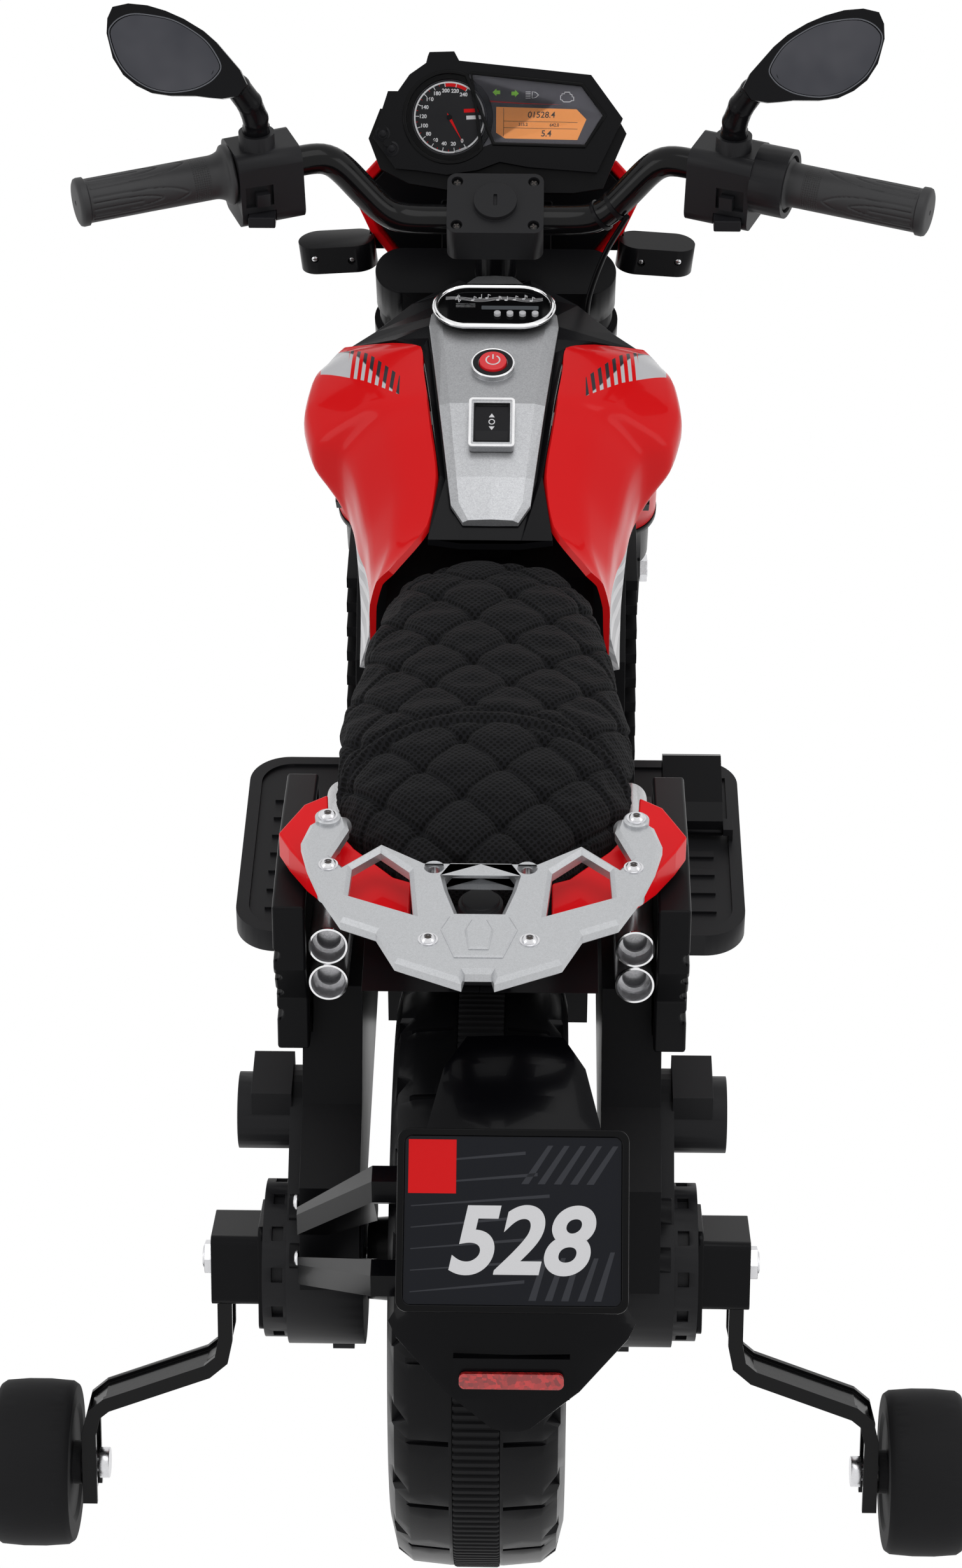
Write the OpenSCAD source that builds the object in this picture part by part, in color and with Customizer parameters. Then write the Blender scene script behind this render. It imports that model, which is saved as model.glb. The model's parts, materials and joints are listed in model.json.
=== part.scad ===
// Kids electric motorbike with stabiliser wheels.
// X is to the rider's right, Y is forward, Z is up and the ground is Z = 0.
// Most places are given as (x, d, z), where d is the distance ahead of the rear axle.

/* [Wheels] */
// Radius of the two road wheels
wheel_r = 165; // [155:1:170]
// Half width of the road wheels
wheel_half_w = 46; // [40:1:50]
// Distance between the two axles
wheelbase = 700; // [698:1:720]
// Radius of the two stabiliser wheels
stab_r = 46; // [40:1:47]
// Number of tread blocks round each shoulder of a road wheel
tread_blocks = 22; // [12:1:26]

/* [Steering] */
// Lean of the steering axis from the vertical
rake = 26; // [25:0.5:27]
// Half distance between the upper fork tubes
fork_top_x = 57; // [55:1:58]
// Half distance between the lower fork legs
fork_leg_x = 86; // [85:1:88]
// Radius of the handlebar tube
bar_r = 9; // [8:0.5:9]
// Radius of the hand grips
grip_r = 13; // [12:0.5:13.5]

/* [Body] */
// Half width of the black body shells
body_half_w = 60; // [56:1:60]
// Thickness of the painted panels
panel_t = 4; // [3:0.5:4]
// Half width of the foot board
board_half_w = 160; // [150:1:165]
// Top of the foot board
board_z = 130; // [126:1:130]

/* [Seat] */
// Level on which the cushion lies
seat_z = 397.5; // [397.5:0.5:399]
// Height of the cushion's crown above that level
seat_h = 42; // [34:1:44]
// Width of one quilted diamond
quilt_w = 44; // [34:1:50]
// Length of one quilted diamond
quilt_l = 50; // [40:1:60]
// Depth of the sewn channels
quilt_d = 4; // [2:0.5:5]

/* [Rear end] */
// Radius of the rear axle
axle_r = 6; // [5:0.5:6]
// Radius of the gearbox bodies
gearbox_r = 46.5; // [44:0.5:46.5]
// Backward lean of the stabiliser arms
arm_lean = 19; // [15:1:22]
// Sideways offset of the rear mudguard and its plate
guard_x = 18; // [10:1:18]
// Width of the number plate
plate_w = 114; // [100:1:122]
// Height of the number plate
plate_h = 90; // [80:1:96]

/* [Hidden] */
$fn = 48;
slip = 0.05;
gap = 0.4;
rear_axle_y = -338.5;
front_axle_y = rear_axle_y + wheelbase;
stab_reach = 125.6;
stab_in = 224.5;
stab_out = 267;
bolt_r = 5;
stem_r = 13;
frame_in = 64;
frame_out = 96;
motor_d = 50;
motor_z = 228;
crown_top = 350;
crown_low = 318;
pipe_r = 10.3;
cable_r = 1.75;
pedal_hinge = [437, 134];
mirror_foot = [140, 497, 591];
grip_in = [119, 508, 572];
grip_out = [242, 462, 568];
switch_len = 39;

// Height of the console along the tank's middle line, against d
console_profile = [[300, 420], [325, 437], [375, 472], [422, 484.5], [472, 491.5], [513, 495]];
function console_z(d) = lookup(d, console_profile);
function console_slope(d) = atan((console_z(d + 12) - console_z(d - 12)) / 24);

// Half width of the silver console panel against d
console_half = [[326, 16], [335, 23], [348, 25], [392, 31], [462, 38.5], [473, 37.5], [496, 25], [512, 13]];
// d, half width and drop of the edge below the middle, of the black spine round the console
spine_rows = [[318, 36.4, 3], [351, 30.1, 3], [400, 36.8, 3], [443, 42.5, 3], [456, 59, 7],
              [468, 86.6, 21], [478, 72, 17], [500, 51, 12], [513, 22, 3]];
// d, and five points (x, z) from the spine down to the lower edge, of the right tank panel
tank_rows = [
    [300, [[58, 419], [65, 411], [69, 395], [70, 374], [75.5, 352]]],
    [325, [[36.5, 434], [56, 424], [69, 402], [71, 378], [76, 356]]],
    [351, [[32, 452], [54, 441], [72, 414], [74, 388], [77, 366]]],
    [378, [[36, 469], [59, 459], [80, 434], [81, 406], [80.5, 386]]],
    [394, [[38, 475], [66, 464], [88, 440], [89, 416], [84, 390]]],
    [402, [[38.5, 477.5], [72, 469], [103, 444], [105, 424], [93, 405]]],
    [422, [[41, 481.5], [76, 474], [109, 455], [112, 436], [101, 413]]],
    [443, [[43, 484.5], [78, 478], [106, 463], [111, 440], [101, 412]]],
    [456, [[60, 479.5], [84, 474], [102, 462], [108, 442], [100, 414]]],
    [468, [[89, 469.5], [94, 465], [101, 456], [105, 442], [98, 418]]],
    [484, [[89, 459], [93, 455], [97, 449], [99, 440], [94, 425]]]];

// Outlines seen from the side, as points (d, z)
body_outline = [[245, 131], [515, 131], [522, 200], [540, 262], [560, 300], [552, 335], [520, 395],
                [470, 415], [330, 396], [300, 384], [-38, 384], [14, 346], [150, 346], [245, 295]];
body_hollow = [[250, 136], [510, 136], [517, 201], [535, 263], [554, 300], [547, 333], [517, 390],
               [470, 410], [331, 391], [301, 379], [-24, 379], [16, 351], [151, 351], [250, 299]];
engine_outline = [[300, 140], [440, 140], [470, 200], [490, 290], [470, 380], [400, 385], [340, 330],
                  [306, 240]];
frame_outline = [[-48, 186], [-27, 240], [16, 262], [50, 316], [120, 306], [302.2, 262], [302.2, 186], [48, 178]];
shield_outline = [[12, 398], [8, 360], [22, 330], [16, 300], [60, 296], [150, 330], [150, 384], [70, 398]];

// Half of the seat's outline seen from above: d and half width
seat_rows = [[17, 42], [32, 57], [56, 71], [72, 79], [112, 82], [134, 83], [157, 82], [180, 79], [200, 75],
             [224, 72], [248, 67], [276, 61], [299, 53], [308, 46], [314, 38], [316, 30]];

// Half outlines seen from above, as points (x, d)
tail_half = [[36, -27], [36, 9], [45, 13], [66, 37], [75.5, 53], [81, 68], [82, 84], [94, 75], [106, 50], [100, 37],
             [90, 20], [78, 6], [62, -11]];
rail_half = [[0, -1], [28, -1], [51, 15], [70, -4], [76, 4], [68, 27], [70, 37], [78, 41], [88, 31], [92, 15],
             [88, -3], [81, -24], [69, -49], [51, -58], [41, -81], [8, -97], [6.5, -89], [0, -89]];
rail_window = [[36, -8], [51, 8], [65, -6], [66, -28], [33, -43]];
rail_middle = [[-14, -5], [14, -5], [18, -13], [16, -24], [11, -42], [-11, -42], [-16, -24], [-18, -13]];
rail_relief = [[-16, -9], [-25, -18], [-24, -31], [-11, -46], [-17, -57], [-11, -80], [11, -80], [17, -57],
               [11, -46], [24, -31], [25, -18], [16, -9]];
rail_bolts = [[77, -5], [25, -65], [79, 34]];

dash_outline = [[-39, 31], [-38, 33.5], [-23, 34], [-20, 28.5], [60, 20.5], [79.5, -5.5], [64, -38], [22, -35],
                [5, -32], [-8, -37], [-27, -40], [-45, -37.5], [-58, -36.5], [-72, -18], [-63, 10], [-57, 10],
                [-50, 20], [-40, 27]];
dash_skirt = [[-68, 0], [74, 0], [82, -14], [68, -47], [50, -50], [6, -50], [-24, -49], [-50, -45], [-68, -36],
              [-75, -18]];
dash_window = [[-14, 20.5], [54.5, 14], [68, -3.5], [56.5, -21.8], [1.5, -20.5], [-10, -25]];
cowl_rear = [[-74, 531], [74, 531], [91, 511], [79, 482], [60, 455], [-60, 455], [-79, 482], [-91, 511]];
cowl_front = [[-46, 520], [46, 520], [60, 500], [48, 456], [30, 437], [-30, 437], [-48, 456], [-60, 500]];

// The handlebar's left hand end, and its bent part from there to the middle, as points (x, d, z)
bar_end = [-238, 463.5, 568.1];
bar_points = [[-125, 505.7, 571.8], [-119, 508, 572], [-106, 512.3, 572.6], [-98, 514.2, 570.3], [-91, 515.6, 564],
              [-80, 517.3, 550], [-70, 519.2, 537.5], [-62, 520.4, 530.8], [-52, 521, 528]];
// Route of the throttle lead in the steering's own axes: x, ahead of the axis, along the axis
cable_route = [[79, -7.5, 416.6], [75, -8.2, 406], [70, -9.5, 394], [66, -10.5, 382], [62.5, -13.5, 371], [59.5, -17, 361],
               [57, -21, 352],
               [56, -24, 338], [55, -24.5, 320], [53, -24, 300], [50, -23, 280], [46, -20, 258], [42, -16, 238],
               [39, -13, 222], [38, -12, 213.5]];

// Helpers

module from_rear_axle() {
    translate([0, rear_axle_y, 0]) children();
}

module on_steering() {
    translate([0, front_axle_y, wheel_r]) rotate([rake, 0, 0]) children();
}

module both_sides() {
    children();
    mirror([1, 0, 0]) children();
}

// A solid from x0 to x1 over an outline drawn as (d, z)
module side_slab(x0, x1) {
    translate([x0, 0, 0]) rotate([90, 0, 90]) linear_extrude(x1 - x0) children();
}

module x_rod(x0, x1, r) {
    translate([x0, 0, 0]) rotate([0, 90, 0]) cylinder(h = x1 - x0, r = r);
}

module rod(a, b, r) {
    along(a, b) cylinder(h = norm(b - a), r = r);
}

// Puts z along the line from a to b
module along(a, b) {
    v = b - a;
    translate(a) rotate([0, acos(v.z / norm(v)), atan2(v.y, v.x)]) children();
}

module rounded_rect(w, h, r) {
    square([w - 2 * r, h], center = true);
    square([w, h - 2 * r], center = true);
    for (x = [-1, 1], y = [-1, 1]) translate([x * (w / 2 - r), y * (h / 2 - r)]) circle(r);
}

module stadium(length, width) {
    square([length - width, width], center = true);
    for (x = [-1, 1]) translate([x * (length - width) / 2, 0]) circle(d = width);
}

function mirrored_route(half) = concat(half, [for (i = [len(half) - 1:-1:0]) [-half[i].x, half[i].y, half[i].z]]);
function mirrored(half) = concat(half, [for (i = [len(half) - 1:-1:0]) [-half[i].x, half[i].y]]);

// Direction across an open line of points at point i, to the inner side
function inward(p, i) =
    let (a = p[max(i - 1, 0)], b = p[min(i + 1, len(p) - 1)], v = b - a) [v.y, -v.x] / norm(v);
function shell_ring(p, t) = concat(p, [for (i = [len(p) - 1:-1:0]) p[i] + t * inward(p, i)]);

// A closed solid through rings of points (x, z), one ring for each d
module loft(ds, rings) {
    n = len(rings[0]);
    last = len(ds) - 1;
    polyhedron(
        points = [for (k = [0:last]) for (p = rings[k]) [p.x, ds[k], p.y]],
        faces = concat(
            [[for (i = [0:n - 1]) i]],
            [[for (i = [n - 1:-1:0]) last * n + i]],
            [for (k = [0:last - 1], i = [0:n - 1]) [k * n + i, (k + 1) * n + i, (k + 1) * n + (i + 1) % n]],
            [for (k = [0:last - 1], i = [0:n - 1])
                [k * n + i, (k + 1) * n + (i + 1) % n, k * n + (i + 1) % n]]),
        convexity = 6);
}

// A tube with flat sides along a route that never runs along the axis across
module tube(route, r, sides = 8, across = [1, 0, 0]) {
    last = len(route) - 1;
    function heading(k) =
        let (v = route[min(k + 1, last)] - route[max(k - 1, 0)]) v / norm(v);
    function ring(k) =
        let (t = heading(k), u = cross(t, across) / norm(cross(t, across)), w = cross(t, u))
            [for (i = [0:sides - 1]) route[k] + r * (cos(i * 360 / sides) * u + sin(i * 360 / sides) * w)];
    polyhedron(
        points = [for (k = [0:last]) for (p = ring(k)) p],
        faces = concat(
            [[for (i = [0:sides - 1]) i]],
            [[for (i = [sides - 1:-1:0]) last * sides + i]],
            [for (k = [0:last - 1], i = [0:sides - 1])
                [(k + 1) * sides + i, k * sides + (i + 1) % sides, k * sides + i]],
            [for (k = [0:last - 1], i = [0:sides - 1])
                [(k + 1) * sides + i, (k + 1) * sides + (i + 1) % sides, k * sides + (i + 1) % sides]]),
        convexity = 6);
}

// A frame on the console's top surface at distance d ahead of the rear axle
module on_console(d, x = 0) {
    from_rear_axle() translate([x, d, console_z(d)]) rotate([console_slope(d), 0, 0]) children();
}

// Black body shells

module body_right_solid() {
    from_rear_axle() difference() {
        union() {
            side_slab(0.2, body_half_w) polygon(body_outline);
            side_slab(body_half_w - 1, 80) polygon(engine_outline);
            for (z = [214:14:340]) translate([79, 352 + (z - 214) * 0.4, z]) cube([9, 92, 7]);
            side_slab(body_half_w - 1, 94) polygon([[411, 396], [420, 386], [468, 382], [474, 402], [440, 404], [414, 402]]);
        }
        side_slab(0, body_half_w - 4) polygon(body_hollow);
        side_slab(body_half_w - 5, 76) polygon([[306, 145], [436, 145], [465, 202], [484, 290], [466, 374],
            [402, 379], [346, 330], [312, 240]]);
        translate([0, wheelbase, wheel_r]) rotate([rake, 0, 0]) {
            cylinder(h = 400, r = 23);
            translate([-5.5, -130, 215]) cube([11, 130, 90]);
        }
    }
}

module body_right() {
    color("#202124") body_right_solid();
}

module body_left() {
    color("#202124") mirror([1, 0, 0]) body_right_solid();
}

module head_tube() {
    color("#2b2d31") on_steering() difference() {
        union() {
            translate([0, 0, 218]) cylinder(h = 98, r = 22);
            translate([-5, -122, 225]) cube([10, 104, 74]);
        }
        cylinder(h = 400, r = stem_r + slip);
    }
}

// Painted tank and the console on it

module tank_right_solid() {
    from_rear_axle() loft([for (s = tank_rows) s[0]], [for (s = tank_rows) shell_ring(s[1], panel_t)]);
}

module tank_right() {
    color("#e3141b") tank_right_solid();
}

module tank_left() {
    color("#e3141b") mirror([1, 0, 0]) tank_right_solid();
}

function spine_ring(row) =
    let (c = console_z(row[0]) - 6.4, e = console_z(row[0]) - row[2] - 0.5, w = row[1] - gap, t = panel_t,
         s = min(lookup(row[0], console_half) + 1, w - 1.5))
        [[-w, e], [-s, c], [0, c], [s, c], [w, e], [w, e - t], [s, c - t], [0, c - t], [-s, c - t], [-w, e - t]];

module tank_spine() {
    color("#1b1c1e") difference() {
        union() {
            from_rear_axle() loft([for (s = spine_rows) s[0]], [for (s = spine_rows) spine_ring(s)]);
            from_rear_axle() side_slab(-12, 12)
                polygon([[345, 399], [452, 414], [452, 476], [422, 474], [375, 462], [345, 440]]);
        }
        on_console(375) translate([0, 0, -14]) cube([24, 30, 40], center = true);
        on_console(422) translate([0, 0, -14]) cylinder(h = 40, r = 9);
        on_console(472) translate([0, 0, -20]) linear_extrude(40) stadium(66, 36);
    }
}

module console_plate() {
    from_rear_axle() loft(
        [for (s = console_half) s[0]],
        [for (s = console_half) let (z = console_z(s[0]), w = s[1])
            [[-w, z - 2.2], [-w * 0.8, z - 0.6], [0, z], [w * 0.8, z - 0.6], [w, z - 2.2], [w, z - 4.6], [0, z - 4.8],
             [-w, z - 4.6]]]);
}

module console_panel() {
    color("#b9bcc0") difference() {
        union() {
            console_plate();
            on_console(422) translate([0, 0, -3]) cylinder(h = 4.6, r = 12.5);
            on_console(375) translate([0, 0, -1]) linear_extrude(6, center = true) rounded_rect(26, 33, 2);
        }
        on_console(422) translate([0, 0, -30]) cylinder(h = 60, r = 8.4);
        on_console(375) cube([21, 27, 60], center = true);
        on_console(472) translate([0, 0, -20]) linear_extrude(40) stadium(64.6, 34.6);
    }
}

music_x = [2, 9.5, 17, 24.5];
module audio_unit() {
    color("#101113") on_console(472) difference() {
        union() {
            translate([0, 0, -16]) linear_extrude(20) stadium(64, 34);
            translate([0, 0, 1.4]) linear_extrude(3.6) stadium(72, 42);
        }
        translate([0, 0, 3.4]) linear_extrude(5) stadium(66, 36);
        for (x = music_x) translate([x, -7, -2]) cylinder(h = 10, r = 2.4);
        translate([-23.5, 1, 1.4]) cube([13, 4.6, 6]);
    }
}

module music_button(i) {
    color("#d8d9dc") on_console(472) translate([music_x[i], -7, -0.4]) cylinder(h = 6, r = 2);
}

module power_button() {
    color("#c81218") on_console(422) translate([0, 0, -1.5]) {
        cylinder(h = 5.2, r = 8);
        translate([0, 0, -9]) cylinder(h = 9.5, r = 4);
    }
}

module direction_switch() {
    color("#15161a") on_console(375) {
        side_slab(-10, 10) polygon([[-12.2, -4], [12.2, -4], [12.2, 0.6], [6, 2], [-6, 2], [-12.2, 0.6]]);
        translate([0, 0, -5]) cube([20, 6, 5], center = true);
        translate([0, 0, -7]) x_rod(-10, 10, 3.5);
    }
}

// Seat

function seat_half(d) = lookup(d, seat_rows);
function seam(d) = 3 * exp(-pow((d - 128) / 5, 2));
function ridge(a) = 1 - abs(a - round(a)) * 2;
function mix(a, b, k) = a + (b - a) * k;
// Sewn channels: two families of slanting lines
function quilt(x, d) =
    let (a = x / quilt_w + d / quilt_l, b = x / quilt_w - d / quilt_l)
        quilt_d * max(pow(ridge(a + 0.5), 3), pow(ridge(b + 0.5), 3));
function seat_crown(d) = seat_h / 44
    * lookup(d, [[17, 30], [40, 39], [90, 44], [125, 42], [150, 37], [230, 35], [290, 38], [316, 41]]);

// Points of the cushion: one row for each d, from the left hem over the top to the right hem
seat_nd = 30;
seat_nv = 34;
function seat_d(i) = 17 + (316 - 17) * i / seat_nd;
function seat_point(i, j) =
    let (u = 2 * j / seat_nv - 1, side = abs(u), d = seat_d(i), w = seat_half(d),
         near = sin(min(90, 30 * i)), far = sin(min(90, 30 * (seat_nd - i))), end = min(near, far),
         h = seat_crown(d) * pow(max(0, 1 - pow(side, 3.4)), 0.6) * (0.35 + 0.65 * near) * (0.8 + 0.2 * far),
         x = w * mix(u, sign(u) * sin(min(90, side * 101)), end) - sign(u) * end * max(0, side - 0.9) * 60)
        [x, d, seat_z + 2.5 + max(0, h - (quilt(x, d) + seam(d)) * min(1, h / 12))];

module seat_cushion() {
    cols = seat_nv + 1;
    hem = (seat_nd + 1) * cols;
    rim = concat([for (j = [0:seat_nv]) j], [for (i = [1:seat_nd]) i * cols + seat_nv],
        [for (j = [seat_nv - 1:-1:0]) seat_nd * cols + j], [for (i = [seat_nd - 1:-1:1]) i * cols]);
    n = len(rim);
    color("#18191b") from_rear_axle() polyhedron(
        points = concat([for (i = [0:seat_nd], j = [0:seat_nv]) seat_point(i, j)],
            [for (k = rim) let (p = seat_point(floor(k / cols), k % cols)) [p.x * 0.97, p.y, seat_z]],
            [[0, 168, seat_z]]),
        faces = concat(
            [for (i = [0:seat_nd - 1], j = [0:seat_nv - 1])
                [i * cols + j, (i + 1) * cols + j, (i + 1) * cols + j + 1]],
            [for (i = [0:seat_nd - 1], j = [0:seat_nv - 1])
                [i * cols + j, (i + 1) * cols + j + 1, i * cols + j + 1]],
            [for (k = [0:n - 1]) [rim[k], rim[(k + 1) % n], hem + (k + 1) % n]],
            [for (k = [0:n - 1]) [rim[k], hem + (k + 1) % n, hem + k]],
            [for (k = [0:n - 1]) [hem + n, hem + k, hem + (k + 1) % n]]),
        convexity = 8);
}

module seat_base() {
    color("#1a1b1d") from_rear_axle() {
        difference() {
            translate([0, 0, 384.6]) linear_extrude(12.4)
                polygon(mirrored([for (s = seat_rows) if (s[0] < 300) [s[1] - 8, s[0] + 3]]));
            translate([-40, 60, 380]) cube([80, 200, 12]);
        }
        translate([-16, -34, 384.6]) cube([32, 56, 12.4]);
        translate([0, -10, 396]) cylinder(h = 24, r = 11.5);
        translate([0, -10, 419]) cylinder(h = 3, r = 9.5);
    }
}

// Tail and grab rail

module tail_cover() {
    color("#dc141b") from_rear_axle() both_sides() difference() {
        translate([0, 0, 402]) linear_extrude(16) polygon(tail_half);
        translate([0, 0, 398]) linear_extrude(16) offset(delta = -3.5) polygon(tail_half);
    }
}

module grab_rail() {
    color("#b5b8bb") from_rear_axle() {
        difference() {
            translate([0, 0, 430]) linear_extrude(9) polygon(mirrored(rail_half));
            both_sides() translate([0, 0, 420]) linear_extrude(30) polygon(rail_window);
            translate([0, 0, 420]) linear_extrude(30) polygon(rail_middle);
            translate([0, 0, 437.5]) linear_extrude(3) difference() {
                polygon(rail_relief);
                polygon([[-7, -59], [-4, -51], [4, -51], [7, -59], [5, -74], [-5, -74]]);
            }
            both_sides() translate([23.5, -6, 420]) cylinder(h = 30, r = 2.8);
        }
        both_sides() for (p = rail_bolts) translate([p.x, p.y, 418.4]) cylinder(h = 12, r = p.y < -60 ? 4.5 : 6);
        both_sides() {
            translate([79, 34, 429]) cylinder(h = 12, r = 6.6);
            rod([79, 34, 433.5], [72, 46, 425], 5);
        }
    }
}

// Exhausts and the black panels outside them

module pipe_pair() {
    for (k = [0, 1]) translate([80, 20, 367]) rotate([-12, 0, 0]) translate([0, 0, -21 * k]) rotate([-90, 0, 0])
        difference() {
            cylinder(h = 190, r = pipe_r);
            translate([0, 0, -1]) cylinder(h = 16, r = pipe_r - 1.6);
        }
    translate([60.4, 120, 331]) cube([14, 14, 22]);
}

module exhaust_pipes() {
    color("#a9acb0") from_rear_axle() both_sides() pipe_pair();
}

module side_panels() {
    color("#232427") from_rear_axle() both_sides() difference() {
        side_slab(91, 108) polygon(shield_outline);
        side_slab(90, 104) polygon([[20, 392], [16, 360], [30, 330], [26, 306], [60, 302], [144, 334], [144, 378], [70, 392]]);
        for (z = [318:16:370]) translate([105, 0, z]) cube([6, 46, 5]);
    }
}

// Foot board, pedal and electrics

module foot_board() {
    color("#1e1f22") from_rear_axle() translate([0, 426, 0]) difference() {
        union() {
            translate([0, 0, board_z - 16]) linear_extrude(14) rounded_rect(2 * board_half_w, 187, 26);
            translate([0, 0, board_z - 3]) linear_extrude(3) difference() {
                rounded_rect(2 * board_half_w, 187, 26);
                rounded_rect(2 * board_half_w - 16, 171, 20);
            }
            for (y = [-66:19:66]) both_sides() translate([94, y - 3, board_z - 3]) cube([48, 6, 3]);
            for (x = [103.4, 148.4]) translate([x, 5, board_z - 3]) cube([6.2, 12, 12]);
        }
        translate([0, 0, board_z - 20]) linear_extrude(14) rounded_rect(2 * board_half_w - 12, 175, 22);
        translate([106, 4, board_z - 2]) cube([46, 70, 6]);
        translate([0, pedal_hinge.x - 426, pedal_hinge.y]) x_rod(105, 153, 3 + slip);
    }
}

module accelerator_pedal() {
    color("#141517") from_rear_axle() difference() {
        union() {
            side_slab(110, 148) polygon([[434, 132], [441, 131.6], [492, 139], [495, 143], [492, 155], [486, 158],
                [446, 150], [436, 142]]);
            translate([0, pedal_hinge.x, pedal_hinge.y]) x_rod(107.2, 150.8, 3);
        }
        for (i = [0:5]) translate([116, 446 + i * 7.5, 151.6 + i * 1.5]) rotate([0, 90, 0]) cylinder(h = 26, r = 1.2);
    }
}

module battery() {
    color("#3a3c40") from_rear_axle() {
        translate([-32.5, 275, 136.5]) cube([65, 151, 94]);
        for (x = [-22, 16]) translate([x, 284, 230]) cube([6, 10, 6]);
    }
}

module control_box() {
    color("#2f5f8f") from_rear_axle() translate([-30, 438, 136.5]) cube([60, 62, 34]);
}

// Rear end

module rear_frames() {
    color("#1f2023") from_rear_axle() both_sides() difference() {
        union() {
            side_slab(frame_in, frame_out) polygon(frame_outline);
            for (p = [[-34, 226], [-44, 200]]) translate([frame_out - 1, p.x + 12, p.y - 4]) x_rod(0, 7, 7);
        }
        translate([0, 0, wheel_r]) x_rod(frame_in - 1, frame_out + 9, gearbox_r + gap);
        side_slab(frame_in + 6, frame_out - 6) polygon([[60, 246], [76, 300], [120, 296], [290, 254], [290, 196], [76, 196]]);
        side_slab(78, 100) polygon([[306, 180], [306, 270], [296, 270], [296, 180]]);
        side_slab(90.5, frame_out + 1) polygon([[20, 295], [170, 295], [170, 330], [20, 330]]);
    }
}

module gearbox() {
    difference() {
        union() {
            translate([0, 0, wheel_r]) x_rod(62.5, 104, gearbox_r);
            translate([0, 0, wheel_r]) x_rod(103, 117, 43);
            side_slab(96.4, 104) hull() {
                translate([0, wheel_r]) circle(r = 45, $fn = 32);
                translate([motor_d, motor_z]) circle(r = 25, $fn = 32);
            }
            translate([0, motor_d, motor_z]) x_rod(103, 133, 21);
            translate([103, motor_d - 18, motor_z + 12]) cube([22, 36, 15]);
            translate([70, -8, 104]) cube([12, 16, 20]);
        }
        translate([0, 0, wheel_r]) x_rod(50, 140, axle_r + 0.2);
        translate([0, motor_d, motor_z]) x_rod(98, 130, 18.3);
        translate([0, 0, wheel_r]) for (a = [0:30:330]) rotate([a, 0, 0]) translate([106, -4, 40]) cube([6, 8, 6]);
    }
}

module gearboxes() {
    color("#222326") from_rear_axle() both_sides() gearbox();
}

module motors() {
    color("#8d9095") from_rear_axle() both_sides() translate([0, motor_d, motor_z]) {
        x_rod(100.5, 129.5, 18);
        x_rod(98.5, 101, 3);
    }
}

module rear_axle() {
    color("#c9cbce") from_rear_axle() translate([0, 0, wheel_r]) {
        x_rod(-152, 152, axle_r);
        both_sides() translate([146.6, 0, 0]) rotate([0, 90, 0]) cylinder(h = 4.4, r = 9.5, $fn = 6);
    }
}

module stabiliser_boxes() {
    color("#232427") from_rear_axle() both_sides() translate([0, 0, wheel_r]) rotate([-arm_lean, 0, 0]) difference() {
        union() {
            translate([120.2, 0, 0]) rotate([90, 0, 90]) linear_extrude(26) rounded_rect(42, 40, 4);
            translate([117.4, 0, -4]) rotate([90, 0, 90]) linear_extrude(3) rounded_rect(48, 60, 6);
        }
        x_rod(110, 150, axle_r + 0.2);
        translate([134.6, -14.8, -40]) cube([10, 29.6, 58]);
    }
}

// Middle line of a stabiliser arm: x and distance below the rear axle along the lean
arm_line = [[139.6, 16], [139.6, -44], [142, -56], [150, -63], [206, -84], [213, -90], [216, -102], [216, -144]];
module arm_band(t) {
    polygon(concat([for (i = [0:len(arm_line) - 1]) arm_line[i] - t * inward(arm_line, i)],
        [for (i = [len(arm_line) - 1:-1:0]) arm_line[i] + t * inward(arm_line, i)]));
}

module stabiliser_arms() {
    color("#111214") from_rear_axle() both_sides() translate([0, 0, wheel_r]) rotate([-arm_lean, 0, 0]) difference() {
        union() {
            translate([0, 14, 0]) rotate([90, 0, 0]) linear_extrude(28) arm_band(2);
            for (y = [14, -10.5]) translate([0, y, 0]) rotate([90, 0, 0]) linear_extrude(3.5) arm_band(4);
        }
        x_rod(130, 150, axle_r + 0.2);
        translate([0, 0, -stab_reach]) x_rod(205, 224, bolt_r + 0.2);
    }
}

function stab_axis() = [-stab_reach * sin(arm_lean), wheel_r - stab_reach * cos(arm_lean)];

module stabiliser_axles() {
    color("#c9cbce") from_rear_axle() both_sides() translate([0, stab_axis().x, stab_axis().y]) {
        x_rod(209, 262, bolt_r);
        x_rod(206, 211.6, 8.5);
        translate([257.5, 0, 0]) rotate([0, 90, 0]) cylinder(h = 6, r = 8.5, $fn = 6);
    }
}

module stabiliser_wheel(side) {
    color("#2a2b2e") from_rear_axle() translate([0, stab_axis().x, stab_axis().y]) rotate([0, side * 90, 0])
        rotate_extrude($fn = 96) polygon([[bolt_r + slip, 221], [12, 221], [12, 226], [30, 226], [33, stab_in],
            [stab_r - 3, stab_in], [stab_r - 1, stab_in + 3], [stab_r, 240], [stab_r, 252], [stab_r - 1, stab_out - 3],
            [stab_r - 3, stab_out], [34, stab_out], [31, 257], [bolt_r + slip, 257]]);
}

// Rear mudguard: a leaf bent round the wheel, held from the left by two box arms

guard_inner_r = 183;
guard_top = 79;
guard_tip = 17;
plate_at = 48;
lens_at = 26;

// Puts z straight out from the rear axle, at an angle above the horizontal rearward line
module from_guard(angle) {
    translate([guard_x, 0, wheel_r]) rotate([90 - angle, 0, 0]) children();
}

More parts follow.
